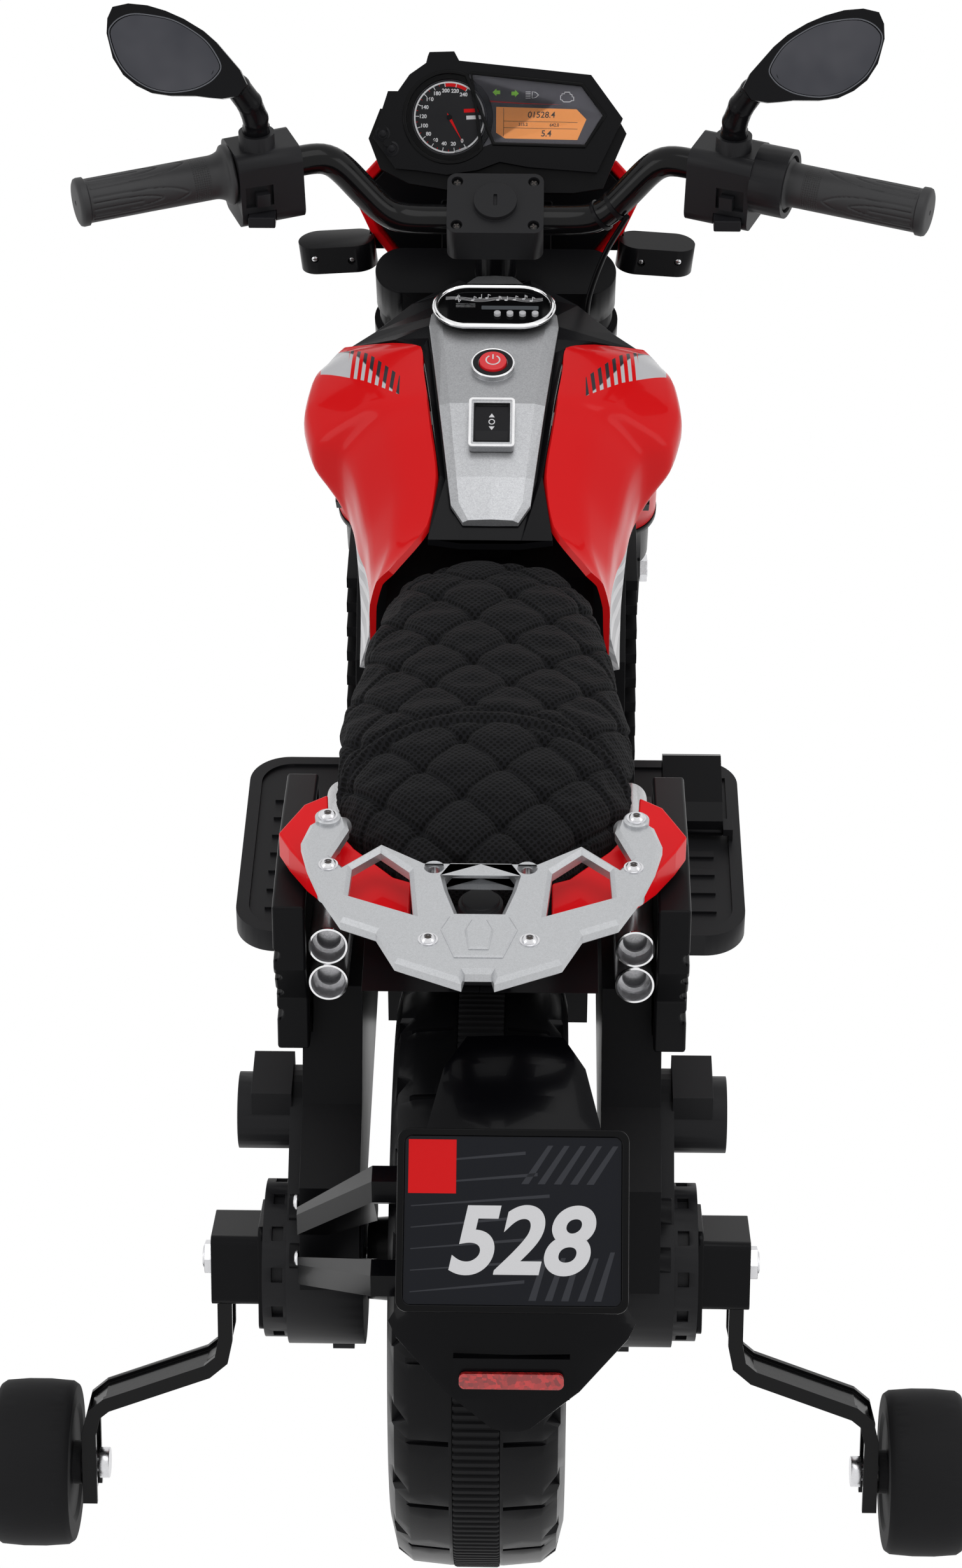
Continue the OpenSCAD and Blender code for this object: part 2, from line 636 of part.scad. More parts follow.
module guard_leaf() {
    intersection() {
        translate([guard_x, 0, wheel_r]) rotate([0, 90, 0]) rotate([0, 0, 270 - guard_top])
            rotate_extrude(angle = guard_top - guard_tip, $fn = 96) polygon([[guard_inner_r - 8, -66],
                [guard_inner_r - 5, -67], [guard_inner_r + 3, -49], [guard_inner_r + 9, -30],
                [guard_inner_r + 11, 0], [guard_inner_r + 9, 30], [guard_inner_r + 3, 49],
                [guard_inner_r - 5, 67], [guard_inner_r - 8, 66], [guard_inner_r, 49], [guard_inner_r + 6, 30],
                [guard_inner_r + 8, 0], [guard_inner_r + 6, -30], [guard_inner_r, -49]]);
        from_guard(plate_at) linear_extrude(260)
            polygon([[-8, 108], [8, 108], [24, 100], [36, 82], [44, 50], [48, 0], [52, -30], [62, -46], [58, -54],
                [34, -80], [10, -98], [0, -101], [-10, -98], [-34, -80], [-58, -54], [-62, -46], [-52, -30],
                [-48, 0], [-44, 50], [-36, 82], [-24, 100]]);
    }
}

module rear_mudguard() {
    color("#121315") from_rear_axle() difference() {
        union() {
            guard_leaf();
            from_guard(plate_at) translate([-28, -32, guard_inner_r + 7]) cube([56, 64, 28.5]);
            from_guard(lens_at) translate([-29, -10.5, guard_inner_r + 7]) cube([58, 21, 10]);
            for (p = [[-50, 228, -110, 306], [-56, 198, -140, 270]]) hull() {
                translate([-frame_out, p[0], p[1]]) cube([16, 6, 14]);
                translate([-53, p[2], p[3]]) cube([33, 12, 14]);
            }
        }
        translate([0, 0, wheel_r]) x_rod(-52, 60, 175);
    }
}

module number_plate() {
    color("#17181c") from_rear_axle() from_guard(plate_at)
        translate([0, 0, guard_inner_r + 36]) difference() {
            linear_extrude(5) rounded_rect(plate_w, plate_h, 6);
            translate([0, 0, 3.5]) linear_extrude(5) rounded_rect(plate_w - 7, plate_h - 7, 4);
        }
}

module rear_reflector() {
    color("#c4161c") from_rear_axle() from_guard(lens_at)
        translate([0, 0, guard_inner_r + 17.4]) linear_extrude(4) rounded_rect(52, 8, 3);
}

// Steering

module fork_crown() {
    color("#1c1d20") on_steering() {
        difference() {
            translate([0, 0, crown_low]) linear_extrude(crown_top - crown_low) stadium(148, 34);
            for (x = [-1, 1]) translate([x * fork_top_x, 0, 300]) cylinder(h = crown_top - 306, r = 15.7);
        }
        translate([0, 0, 213.4]) cylinder(h = crown_low - 213, r = stem_r);
        translate([0, 0, crown_top - 1]) cylinder(h = 42.6, r = 12.5);
    }
}

module fork_legs() {
    color("#17181a") on_steering() difference() {
        union() {
            translate([0, 0, 180]) linear_extrude(33) stadium(2 * fork_leg_x + 38, 38);
            for (x = [-1, 1]) {
                translate([x * fork_top_x, 0, 212]) cylinder(h = 131, r = 15.5);
                translate([x * fork_top_x, 0, 286]) cylinder(h = 14, r = 19);
                translate([x * fork_leg_x, 0, 28]) cylinder(h = 153, r = 17);
                translate([x * fork_leg_x, 0, 76]) cylinder(h = 6, r = 21.5);
                translate([x * (fork_leg_x + 3.5) - 8.5, -15, -22]) cube([17, 30, 56]);
            }
        }
        x_rod(-110, 110, axle_r + 0.2);
    }
}

module fork_guards() {
    color("#d8131a") on_steering() for (x = [-1, 1]) difference() {
        translate([x * fork_leg_x, 0, 82.4]) cylinder(h = 94, r = 21);
        translate([x * fork_leg_x, 0, 80]) cylinder(h = 100, r = 17.4);
        translate([x * (fork_leg_x - 31) - 22, -30, 80]) cube([44, 60, 100]);
    }
}

module front_axle() {
    color("#c9cbce") on_steering() {
        x_rod(-104, 104, axle_r);
        both_sides() translate([98.6, 0, 0]) rotate([0, 90, 0]) cylinder(h = 5, r = 9.5, $fn = 6);
    }
}

module front_mudguard() {
    color("#d8131a") on_steering() {
        rotate([0, 90, 0]) rotate([0, 0, 102]) rotate_extrude(angle = 90, $fn = 96)
            polygon([[170, -50], [173, -52], [175.5, -30], [177, 0], [175.5, 30], [173, 52], [170, 50], [173.4, 0]]);
        for (x = [-26, 14]) translate([x, -8, 174.6]) cube([12, 16, 5.1]);
    }
}

module handlebar() {
    color("#0e0f10") from_rear_axle() {
        both_sides() rod(bar_end, bar_points[1], bar_r);
        tube(mirrored_route(bar_points), bar_r - 0.1, 20, [0, 1, 0]);
    }
}

module clamp_box() {
    color("#1d1e20") on_steering() difference() {
        union() {
            translate([0, 0, 392]) linear_extrude(27) rounded_rect(58, 44, 6);
            translate([0, 0, 418]) cylinder(h = 4.5, r = 13);
        }
        translate([0, -1.9, 404.8]) x_rod(-40, 40, bar_r + 0.2);
        translate([-1, -4, 421]) cube([2, 8, 4]);
        for (x = [-23, 23], y = [-16, 16]) translate([x, y, 416]) cylinder(h = 6, r = 3.4);
    }
}

module on_dash() {
    from_rear_axle() translate([-3, 575, 575]) rotate([60, 0, 0]) children();
}

module dash_housing() {
    color("#1b1c1f") on_dash() difference() {
        union() {
            translate([0, 0, -26]) linear_extrude(26) polygon(dash_outline);
            translate([0, 0, -26]) linear_extrude(18) polygon(dash_skirt);
            for (p = [[-66, -13], [-63, -21]]) translate([p.x, p.y, -1]) cylinder(h = 3, r = 2.6);
            translate([-30, -44, -25]) cube([60, 14, 15]);
        }
        translate([0, 0, -5]) linear_extrude(10) polygon(dash_window);
        translate([-25.7, -5.4, -5]) cylinder(h = 10, r = 27.4);
    }
}

module dash_face() {
    color("#2c2d33") on_dash() translate([0, 0, -4.6]) linear_extrude(2.6) intersection() {
        union() {
            polygon(dash_window);
            translate([-25.7, -5.4]) circle(r = 27);
        }
        polygon([[-60, 30], [54, 13.6], [67, -3.5], [56.2, -21.3], [1.5, -20.1], [-10, -34], [-60, -36]]);
    }
}

module xz_slab(d, t, outline) {
    translate([0, d + t, 0]) rotate([90, 0, 0]) linear_extrude(t) polygon(outline);
}

function scaled(outline, centre, k) = [for (p = outline) centre + k * (p - centre)];
cowl_centre = [0, 488];

module cowl() {
    color("#d8131a") from_rear_axle() difference() {
        hull() {
            xz_slab(592, 2, cowl_rear);
            xz_slab(656, 2, cowl_front);
        }
        hull() {
            xz_slab(590, 2, scaled(cowl_rear, cowl_centre, 0.93));
            xz_slab(658, 2, scaled(cowl_front, cowl_centre, 0.93));
        }
    }
}

module headlight() {
    color("#26272b") from_rear_axle() difference() {
        union() {
            hull() {
                xz_slab(595, 2, scaled(cowl_rear, cowl_centre, 0.9));
                xz_slab(658, 2, scaled(cowl_front, cowl_centre, 0.9));
            }
            translate([-34, 574, 478]) cube([68, 24, 24]);
        }
        translate([0, 652, 480]) rotate([-90, 0, 0]) cylinder(h = 20, r = 30);
    }
}

// The space that the cowl takes, with a little air round it
module cowl_room() {
    hull() {
        xz_slab(590, 2, scaled(cowl_rear, cowl_centre, 1.012));
        xz_slab(657, 2, scaled(cowl_front, cowl_centre, 1.012));
    }
}

module turn_signals() {
    color("#1f2023") from_rear_axle() both_sides() {
        difference() {
            translate([99, 588, 470]) rotate([0, 6, 4]) linear_extrude(18, center = true) stadium(48, 24);
            for (x = [90, 113]) translate([x, 582, 470]) rotate([90, 0, 0]) cylinder(h = 30, r = 2.4);
            cowl_room();
        }
        difference() {
            translate([70, 596, 468]) cube([10, 8, 10]);
            cowl_room();
        }
    }
}

// Hand controls, drawn for the rider's right hand

module at_grip(along_grip = 0) {
    from_rear_axle() along(grip_in, grip_out) translate([0, 0, along_grip]) children();
}

module switch_body() {
    difference() {
        at_grip() linear_extrude(switch_len) translate([6, 0]) rounded_rect(46, 38, 8);
        at_grip(-5) cylinder(h = switch_len + 10, r = bar_r + 0.2);
        from_rear_axle() {
            translate([137, 482, 549]) cube([16.6, 18, 7.6], center = true);
            translate([137, 478, 563]) rotate([0, 0, -20]) cube([17, 12, 13], center = true);
        }
    }
}

module slide_knob() {
    from_rear_axle() translate([137, 483, 561]) rotate([0, 0, -20]) cube([8, 9, 8], center = true);
}

module mirror_socket() {
    from_rear_axle() difference() {
        translate([mirror_foot.x, mirror_foot.y, 583]) cylinder(h = 14, r = 10.6);
        translate([mirror_foot.x, mirror_foot.y, 590.6]) cylinder(h = 20, r = 8.06);
    }
}

module switch_left() {
    color("#1a1b1d") mirror([1, 0, 0]) {
        switch_body();
        slide_knob();
        mirror_socket();
    }
}

module switch_right() {
    color("#1a1b1d") {
        switch_body();
        slide_knob();
        mirror_socket();
        difference() {
            at_grip(switch_len - 0.5) cylinder(h = 20, r = 20.5);
            at_grip(switch_len - 2) cylinder(h = 30, r = bar_r + 0.2);
            at_grip(switch_len + 14) cylinder(h = 10, r = 17);
        }
    }
}

module hand_button() {
    color("#0f1011") from_rear_axle() translate([137, 481, 549]) cube([16, 14, 7], center = true);
}

module horn_button() {
    mirror([1, 0, 0]) hand_button();
}

module start_button() {
    hand_button();
}

module grip_tube(length, flange) {
    difference() {
        union() {
            cylinder(h = length, r = grip_r);
            cylinder(h = 4, r = flange);
            translate([0, 0, 4]) cylinder(h = 8, r1 = flange - 2, r2 = grip_r);
            translate([0, 0, length - 5]) cylinder(h = 5, r = grip_r + 1.4);
        }
        translate([0, 0, -1]) cylinder(h = length - 3, r = bar_r + slip);
        for (a = [0:30:330]) rotate([0, 0, a]) translate([grip_r - 0.7, -1.2, 26]) cube([3, 2.4, length - 36]);
    }
}

module grip_left() {
    color("#1f2022") mirror([1, 0, 0]) at_grip(switch_len + 0.6) grip_tube(94, 18);
}

module throttle_grip() {
    color("#1f2022") at_grip(switch_len + 14.6) {
        difference() {
            grip_tube(90, 16);
            cylinder(h = 0.2, r = 30);
        }
    }
}

module throttle_cable() {
    color("#0c0c0d") on_steering() tube(cable_route, cable_r);
}

stalk_points = [[140, 497, 599], [140, 494, 607], [143, 490, 619], [149, 487, 630], [156, 484, 637], [165, 482, 643]];
mirror_edge = [[33.5, 11], [33, 19.5], [30, 26], [21, 28], [10, 27], [-0.5, 24], [-11, 19.5], [-22, 13], [-29.5, 6.5],
               [-36, -1], [-43, -9], [-47, -17], [-42, -24], [-32.5, -25.5], [-26, -25], [-17.5, -24], [-3, -24],
               [8, -22.5], [16.5, -18.5], [24, -12.5], [30, -3]];
glass_edge = [[32, 11], [30, 16], [25, 20], [17.5, 22], [6, 21], [-5, 18.5], [-15.5, 13], [-24, 6.5], [-30, -2],
              [-32, -8], [-29, -13], [-24, -17], [-15.5, -20.5], [-3, -22], [8, -20], [16.5, -15.5], [24, -9],
              [29, 0]];

module mirror_shape() {
    color("#17181a") from_rear_axle() {
        translate(mirror_foot) cylinder(h = 10, r = 8);
        for (i = [0:len(stalk_points) - 2]) {
            rod(stalk_points[i], stalk_points[i + 1], 7.5);
            if (i > 0) translate(stalk_points[i]) sphere(r = 7.8);
        }
        translate([189.5, 480, 654.5]) rotate([62, 0, 0]) difference() {
            union() {
                translate([0, 0, -11]) linear_extrude(11) polygon(mirror_edge);
                translate([0, 0, -17]) linear_extrude(7) polygon(scaled(mirror_edge, [0, 0], 0.84));
            }
            translate([0, 0, -1.6]) linear_extrude(3) polygon(glass_edge);
        }
    }
}

module mirror_right() {
    mirror_shape();
}

module mirror_left() {
    mirror([1, 0, 0]) mirror_shape();
}

// Road wheels

module road_wheel(hub) {
    difference() {
        rotate([0, 90, 0]) rotate_extrude($fn = 96) polygon([
            [axle_r + slip, -hub], [22, -hub], [24, -wheel_half_w + 8], [38, -wheel_half_w + 12],
            [112, -wheel_half_w + 14], [118, -wheel_half_w], [140, -wheel_half_w], [156, -wheel_half_w + 4],
            [162, -wheel_half_w + 12], [wheel_r - 1, -14], [wheel_r - 1, -12.3], [wheel_r - 5, -12.3],
            [wheel_r - 5, 12.3], [wheel_r - 1, 12.3], [wheel_r - 1, 14], [162, wheel_half_w - 12],
            [156, wheel_half_w - 4], [140, wheel_half_w], [118, wheel_half_w], [112, wheel_half_w - 14],
            [38, wheel_half_w - 12], [24, wheel_half_w - 8], [22, hub], [axle_r + slip, hub]]);
        for (i = [0:tread_blocks - 1], s = [-1, 1]) rotate([360 / tread_blocks * i, 0, 0]) {
            translate([s * 26 - 12, -1.6, wheel_r - 4.5]) cube([24, 3.2, 8]);
            translate([s * 44, 12, wheel_r - 14]) rotate([0, 0, 45]) translate([-6, -6, 0]) cube([12, 12, 20]);
        }
        for (a = [0:60:300], s = [-1, 1]) rotate([a, 0, 0])
            translate([s > 0 ? wheel_half_w - 20 : -wheel_half_w + 8, -15, 52]) cube([12, 30, 48]);
    }
}

module rear_wheel() {
    color("#1a1b1d") from_rear_axle() translate([0, 0, wheel_r]) road_wheel(61.5);
}

module rear_band() {
    color("#101112") from_rear_axle() translate([0, 0, wheel_r]) rotate([0, 90, 0]) difference() {
        translate([0, 0, -12]) cylinder(h = 24, r = wheel_r, $fn = 96);
        translate([0, 0, -13]) cylinder(h = 26, r = wheel_r - 4.8, $fn = 96);
    }
}

module front_wheel() {
    color("#1a1b1d") on_steering() union() {
        road_wheel(61.5);
        rotate([0, 90, 0]) difference() {
            translate([0, 0, -12.4]) cylinder(h = 24.8, r = wheel_r, $fn = 96);
            translate([0, 0, -13]) cylinder(h = 26, r = wheel_r - 6, $fn = 96);
        }
    }
}

body_left();
body_right();
head_tube();
tank_left();
tank_right();
tank_spine();
console_panel();
audio_unit();
seat_base();
seat_cushion();
tail_cover();
grab_rail();
exhaust_pipes();
side_panels();
foot_board();
battery();
control_box();
rear_frames();
gearboxes();
motors();
rear_axle();
stabiliser_boxes();
stabiliser_arms();
stabiliser_axles();
rear_mudguard();
number_plate();
rear_reflector();
fork_crown();
fork_legs();
fork_guards();
front_axle();
front_mudguard();
handlebar();
clamp_box();
dash_housing();
dash_face();
cowl();
headlight();
turn_signals();
switch_left();
switch_right();
grip_left();
throttle_cable();
front_wheel();
rear_wheel();
rear_band();
stabiliser_wheel(-1);  // stabiliser_wheel_left
stabiliser_wheel(1);  // stabiliser_wheel_right
accelerator_pedal();
throttle_grip();
mirror_left();
mirror_right();
power_button();
direction_switch();
music_button(0);  // music_button_1
music_button(1);  // music_button_2
music_button(2);  // music_button_3
music_button(3);  // music_button_4
horn_button();
start_button();
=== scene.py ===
# %% [markdown]
# # Dressing a child's electric motorbike
# The shapes that carry load were built elsewhere and arrive here as a frame of named nodes that
# already move on their joints. This lesson gives them their finish: grained and glossy plastic,
# red paint with decals, silver paint, rubber, zinc and a quilted seat made by a cloth simulation.
# Every piece sits where the frame says, so no size is guessed twice.

# %% Load the frame and remember its box
import json
import math

import bmesh
import bpy
from mathutils import Matrix, Vector


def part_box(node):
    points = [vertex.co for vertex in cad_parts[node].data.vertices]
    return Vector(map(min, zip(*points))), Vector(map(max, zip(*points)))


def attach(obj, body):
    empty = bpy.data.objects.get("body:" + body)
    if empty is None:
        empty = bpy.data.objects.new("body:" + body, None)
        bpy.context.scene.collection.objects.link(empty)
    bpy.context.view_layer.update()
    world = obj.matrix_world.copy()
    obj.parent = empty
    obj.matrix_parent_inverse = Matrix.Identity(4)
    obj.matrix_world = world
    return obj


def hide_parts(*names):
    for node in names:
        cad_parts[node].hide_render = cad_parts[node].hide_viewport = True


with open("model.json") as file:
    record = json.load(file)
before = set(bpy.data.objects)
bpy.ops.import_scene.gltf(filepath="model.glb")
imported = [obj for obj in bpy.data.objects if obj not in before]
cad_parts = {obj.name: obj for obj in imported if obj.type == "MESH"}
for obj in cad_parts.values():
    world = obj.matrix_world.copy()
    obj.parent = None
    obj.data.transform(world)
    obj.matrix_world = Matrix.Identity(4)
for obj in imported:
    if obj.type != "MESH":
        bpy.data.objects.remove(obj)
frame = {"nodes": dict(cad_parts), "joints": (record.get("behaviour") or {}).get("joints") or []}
node = frame["nodes"]
joint = {j["name"]: j for j in frame["joints"]}
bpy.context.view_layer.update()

# %% [markdown]
# Blender works in metres, while a workshop drawing of a toy is in millimetres. All sizes below are
# written in millimetres and turned into metres in one place. Lengths along the motorbike are
# measured forward from the rear axle, because the wheel, the seat and the tank are all set from it.

# %% Places and directions
MM = 0.001
AXLE = Vector(joint["rear_wheel_spin"]["pos_m"])
HEAD = Vector(joint["steering_turn"]["pos_m"])
STEER = Vector(joint["steering_turn"]["axis"])
RAKE = math.atan2(-STEER.y, STEER.z)
WHEEL_R = AXLE.z / MM


def at(x, d, z):
    """A point from its distance right, distance ahead of the rear axle and height, in mm."""
    return Vector((x * MM, AXLE.y + d * MM, z * MM))


def turned(origin, *turns):
    """A frame at origin, turned about its own axes one after the other, as ("X", degrees)."""
    m = Matrix.Translation(origin)
    for axis, degrees in turns:
        m = m @ Matrix.Rotation(math.radians(degrees), 4, axis)
    return m


print("rear axle", [round(c, 4) for c in AXLE], "rake", round(math.degrees(RAKE), 1))

# %% [markdown]
# The photograph looks down from behind. Its camera is a long lens far away, so the motorbike hardly
# narrows towards its front. The lens comes from the focal length in pixels over the picture's long side.

# %% Camera
PHOTO_W = 1511
PHOTO_H = 2464
FOCAL_PX = 6000
LOOK_DOWN = 36.0
LOOK_LEFT = 0.95
camera_data = bpy.data.cameras.new("photo_camera")
camera_data.sensor_width = 36
camera_data.lens = 36 * FOCAL_PX / PHOTO_H
camera_data.clip_end = 50
camera = bpy.data.objects.new("photo_camera", camera_data)
camera.location = (0.0255, -1.8762, 1.604)
camera.rotation_euler = (math.radians(90 - LOOK_DOWN), 0, math.radians(LOOK_LEFT))
bpy.context.scene.collection.objects.link(camera)
bpy.context.scene.camera = camera
bpy.context.scene.view_settings.view_transform = "Standard"
print("lens", round(camera_data.lens, 1), "mm")

# %% [markdown]
# ## Writing materials in code
# A shader tree is a set of boxes joined by wires. A tiny helper that makes a box, sets its values and
# plugs in its wires keeps each material short enough to read in one glance.


# %% A helper for shader trees
class Tree:
    """Adds shader nodes to a material or a group."""

    def __init__(self, tree):
        self.tree = tree

    def add(self, kind, inputs=None, **settings):
        made = self.tree.nodes.new(kind)
        for name, value in settings.items():
            setattr(made, name, value)
        for name, value in (inputs or {}).items():
            self.feed(made.inputs[name], value)
        return made

    def feed(self, socket, value):
        if isinstance(value, bpy.types.NodeSocket):
            self.tree.links.new(value, socket)
        else:
            socket.default_value = value

    def math(self, operation, *values, clamp=False):
        made = self.add("ShaderNodeMath", operation=operation, use_clamp=clamp)
        for socket, value in zip(made.inputs, values):
            self.feed(socket, value)
        return made.outputs[0]

    def blend(self, factor, first, second):
        made = self.add("ShaderNodeMix", data_type="RGBA")
        self.feed(made.inputs["Factor"], factor)
        self.feed(made.inputs[6], first)
        self.feed(made.inputs[7], second)
        return made.outputs[2]

    def ramp(self, value, low, high):
        """0 below low, 1 above high and a smooth step between."""
        made = self.add("ShaderNodeMapRange", interpolation_type="SMOOTHSTEP")
        self.feed(made.inputs["Value"], value)
        self.feed(made.inputs["From Min"], low)
        self.feed(made.inputs["From Max"], high)
        return made.outputs["Result"]

    def place(self):
        """The point on the surface in the object's own space, as separate X, Y and Z."""
        here = self.add("ShaderNodeTexCoord").outputs["Object"]
        split = self.add("ShaderNodeSeparateXYZ", {"Vector": here})
        return here, split.outputs["X"], split.outputs["Y"], split.outputs["Z"]


def group(name, inputs, outputs):
    """An empty node group with float or colour sockets, and its tree, entry and exit."""
    made = bpy.data.node_groups.new(name, "ShaderNodeTree")
    for title, kind, value in inputs:
        socket = made.interface.new_socket(title, in_out="INPUT", socket_type=kind)
        socket.default_value = value
    for title, kind in outputs:
        made.interface.new_socket(title, in_out="OUTPUT", socket_type=kind)
    tree = Tree(made)
    return made, tree, tree.add("NodeGroupInput"), tree.add("NodeGroupOutput")


FLOAT = "NodeSocketFloat"
COLOUR = "NodeSocketColor"
VECTOR = "NodeSocketVector"

# %% [markdown]
# ## Effects that several materials share
# Moulded plastic has a fine eroded grain and is handled by children, so its gloss is never even. One
# group gives the height of the grain, a slow drift of the gloss and a mask of faint scuffs. Each
# material then asks for its own grain size and depth.

# %% Effect: moulded surface
moulded_surface, t, enter, leave = group(
    "moulded_surface",
    [("Grain size", FLOAT, 0.5), ("Gloss", FLOAT, 0.4), ("Gloss drift", FLOAT, 0.08)],
    [("Height", FLOAT), ("Roughness", FLOAT), ("Scuffs", FLOAT)],
)
here = t.add("ShaderNodeTexCoord").outputs["Object"]
fine = t.math("DIVIDE", 1000, enter.outputs["Grain size"])
grain = t.add("ShaderNodeTexNoise", {"Vector": here, "Scale": fine, "Detail": 3.0, "Roughness": 0.6})
slow = t.add("ShaderNodeTexNoise", {"Vector": here, "Scale": 9.0, "Detail": 4.0, "Roughness": 0.55})
drift = t.math("MULTIPLY", t.math("SUBTRACT", slow.outputs["Fac"], 0.5), enter.outputs["Gloss drift"])
rough = t.math("ADD", enter.outputs["Gloss"], t.math("MULTIPLY", drift, 2.0))
stretch = t.add("ShaderNodeMapping", {"Vector": here, "Scale": (60, 9, 24), "Rotation": (0.3, 0.5, 0.4)})
lines = t.add("ShaderNodeTexNoise", {"Vector": stretch.outputs[0], "Scale": 3.0, "Detail": 6.0, "Roughness": 0.7})
t.feed(leave.inputs["Height"], grain.outputs["Fac"])
t.feed(leave.inputs["Roughness"], t.math("MAXIMUM", rough, 0.03))
t.feed(leave.inputs["Scuffs"], t.ramp(lines.outputs["Fac"], 0.66, 0.78))
print("effect", moulded_surface.name)

# %% [markdown]
# Silver plastic is painted with flakes of aluminium. Close up, each flake faces its own way, which a
# cell pattern imitates: every cell tilts the surface a little, and its own brightness is painted glint, the light the
# flake would catch.

# %% Effect: metal flakes with painted glint
flakes_and_painted_glint, t, enter, leave = group(
    "flakes_and_painted_glint",
    [("Flake size", FLOAT, 0.5), ("Dark", COLOUR, (0.4, 0.4, 0.4, 1)), ("Light", COLOUR, (0.7, 0.7, 0.7, 1))],
    [("Colour", COLOUR), ("Height", FLOAT)],
)
here = t.add("ShaderNodeTexCoord").outputs["Object"]
cells = t.add("ShaderNodeTexVoronoi", {"Vector": here, "Scale": t.math("DIVIDE", 1000, enter.outputs["Flake size"])})
tone = t.add("ShaderNodeSeparateColor", {"Color": cells.outputs["Color"]})
soft = t.add("ShaderNodeTexNoise", {"Vector": here, "Scale": 700.0, "Detail": 2.0})
mixed = t.math("ADD", t.math("MULTIPLY", tone.outputs[0], 0.55), t.math("MULTIPLY", soft.outputs["Fac"], 0.45))
# painted glint: each cell's own brightness stands for the light its flake catches; the soft noise is the paint's own
# uneven tone
t.feed(leave.inputs["Colour"], t.blend(mixed, enter.outputs["Dark"], enter.outputs["Light"]))
t.feed(leave.inputs["Height"], mixed)
print("effect", flakes_and_painted_glint.name)

# %% [markdown]
# Spacer fabric is a knit with rows of small open holes. The seat has its own flat map of millimetres
# along and across the cloth, so the holes keep their size on the sides too.

# %% Effect: perforated spacer fabric
spacer_fabric, t, enter, leave = group(
    "spacer_fabric",
    [("Pitch", FLOAT, 2.4), ("Hole", FLOAT, 0.3), ("Thread", FLOAT, 0.6)],
    [("Height", FLOAT), ("Holes", FLOAT), ("Tone", FLOAT)],
)
cloth_map = t.add("ShaderNodeUVMap", uv_map="cloth_mm")
split = t.add("ShaderNodeSeparateXYZ", {"Vector": cloth_map.outputs[0]})
u = t.math("DIVIDE", split.outputs["X"], enter.outputs["Pitch"])
v = t.math("DIVIDE", split.outputs["Y"], enter.outputs["Pitch"])


def hole_row(shift):
    """Round holes on a square grid that is shifted by half a step in both directions."""
    du = t.math("PINGPONG", t.math("ADD", u, shift), 0.5)
    dv = t.math("PINGPONG", t.math("ADD", v, shift), 0.5)
    far = t.math("SQRT", t.math("ADD", t.math("POWER", du, 2.0), t.math("POWER", dv, 2.0)))
    return far


near = t.math("MINIMUM", hole_row(0.0), hole_row(0.5))
holes = t.math("SUBTRACT", 1.0, t.ramp(near, t.math("MULTIPLY", enter.outputs["Hole"], 0.55), enter.outputs["Hole"]))
knit_u = t.math("SINE", t.math("DIVIDE", split.outputs["X"], t.math("MULTIPLY", enter.outputs["Thread"], 0.16)))
knit_v = t.math("SINE", t.math("DIVIDE", split.outputs["Y"], t.math("MULTIPLY", enter.outputs["Thread"], 0.16)))
knit = t.math("MULTIPLY", t.math("MULTIPLY", knit_u, knit_v), 0.12)
t.feed(leave.inputs["Height"], t.math("SUBTRACT", knit, holes))
t.feed(leave.inputs["Holes"], holes)
fuzz = t.add("ShaderNodeTexNoise", {"Vector": cloth_map.outputs[0], "Scale": 0.09, "Detail": 3.0})
t.feed(leave.inputs["Tone"], fuzz.outputs["Fac"])
print("effect", spacer_fabric.name)

# %% [markdown]
# Ribs repeat everywhere on a vehicle: on tyres, grips, fins and pedals. Where they are too fine to
# model, a wave of height along one direction is enough.

# %% Effect: fine ribs
fine_ribs, t, enter, leave = group(
    "fine_ribs",
    [("Along", FLOAT, 0.0), ("Pitch", FLOAT, 2.0), ("Width", FLOAT, 0.5)],
    [("Height", FLOAT)],
)
wave = t.math("PINGPONG", t.math("DIVIDE", enter.outputs["Along"], enter.outputs["Pitch"]), 0.5)
edge = t.math("MULTIPLY", enter.outputs["Width"], 0.5)
t.feed(leave.inputs["Height"], t.ramp(wave, t.math("SUBTRACT", edge, 0.08), t.math("ADD", edge, 0.08)))
print("effect", fine_ribs.name)

# %% [markdown]
# ## The finishes
# Each finish is one function that returns a material. A value that is the same all over goes straight
# onto the shader, and only what changes over the surface comes through wires.


# %% Start a material
def new_material(name):
    made = bpy.data.materials.new(name)
    made.use_nodes = True
    made.node_tree.nodes.clear()
    tree = Tree(made.node_tree)
    shader = tree.add("ShaderNodeBsdfPrincipled")
    out = tree.add("ShaderNodeOutputMaterial")
    made.node_tree.links.new(shader.outputs[0], out.inputs["Surface"])
    return made, tree, shader


def effect(tree, which, **inputs):
    return tree.add("ShaderNodeGroup", {k.replace("_", " "): v for k, v in inputs.items()}, node_tree=which)


def bump(tree, shader, height, depth, under=None):
    """Turns a height between 0 and 1 into a normal, depth in mm."""
    made = tree.add("ShaderNodeBump", {"Height": height, "Strength": 1.0, "Distance": depth * MM})
    if under is not None:
        tree.feed(made.inputs["Normal"], under)
    tree.feed(shader.inputs["Normal"], made.outputs[0])
    return made.outputs[0]


# %% [markdown]
# Most of the motorbike is black polypropylene straight from the mould. It is not black but a very
# dark grey, with a satin sheen that is stronger on the smooth parts than on the grained ones.


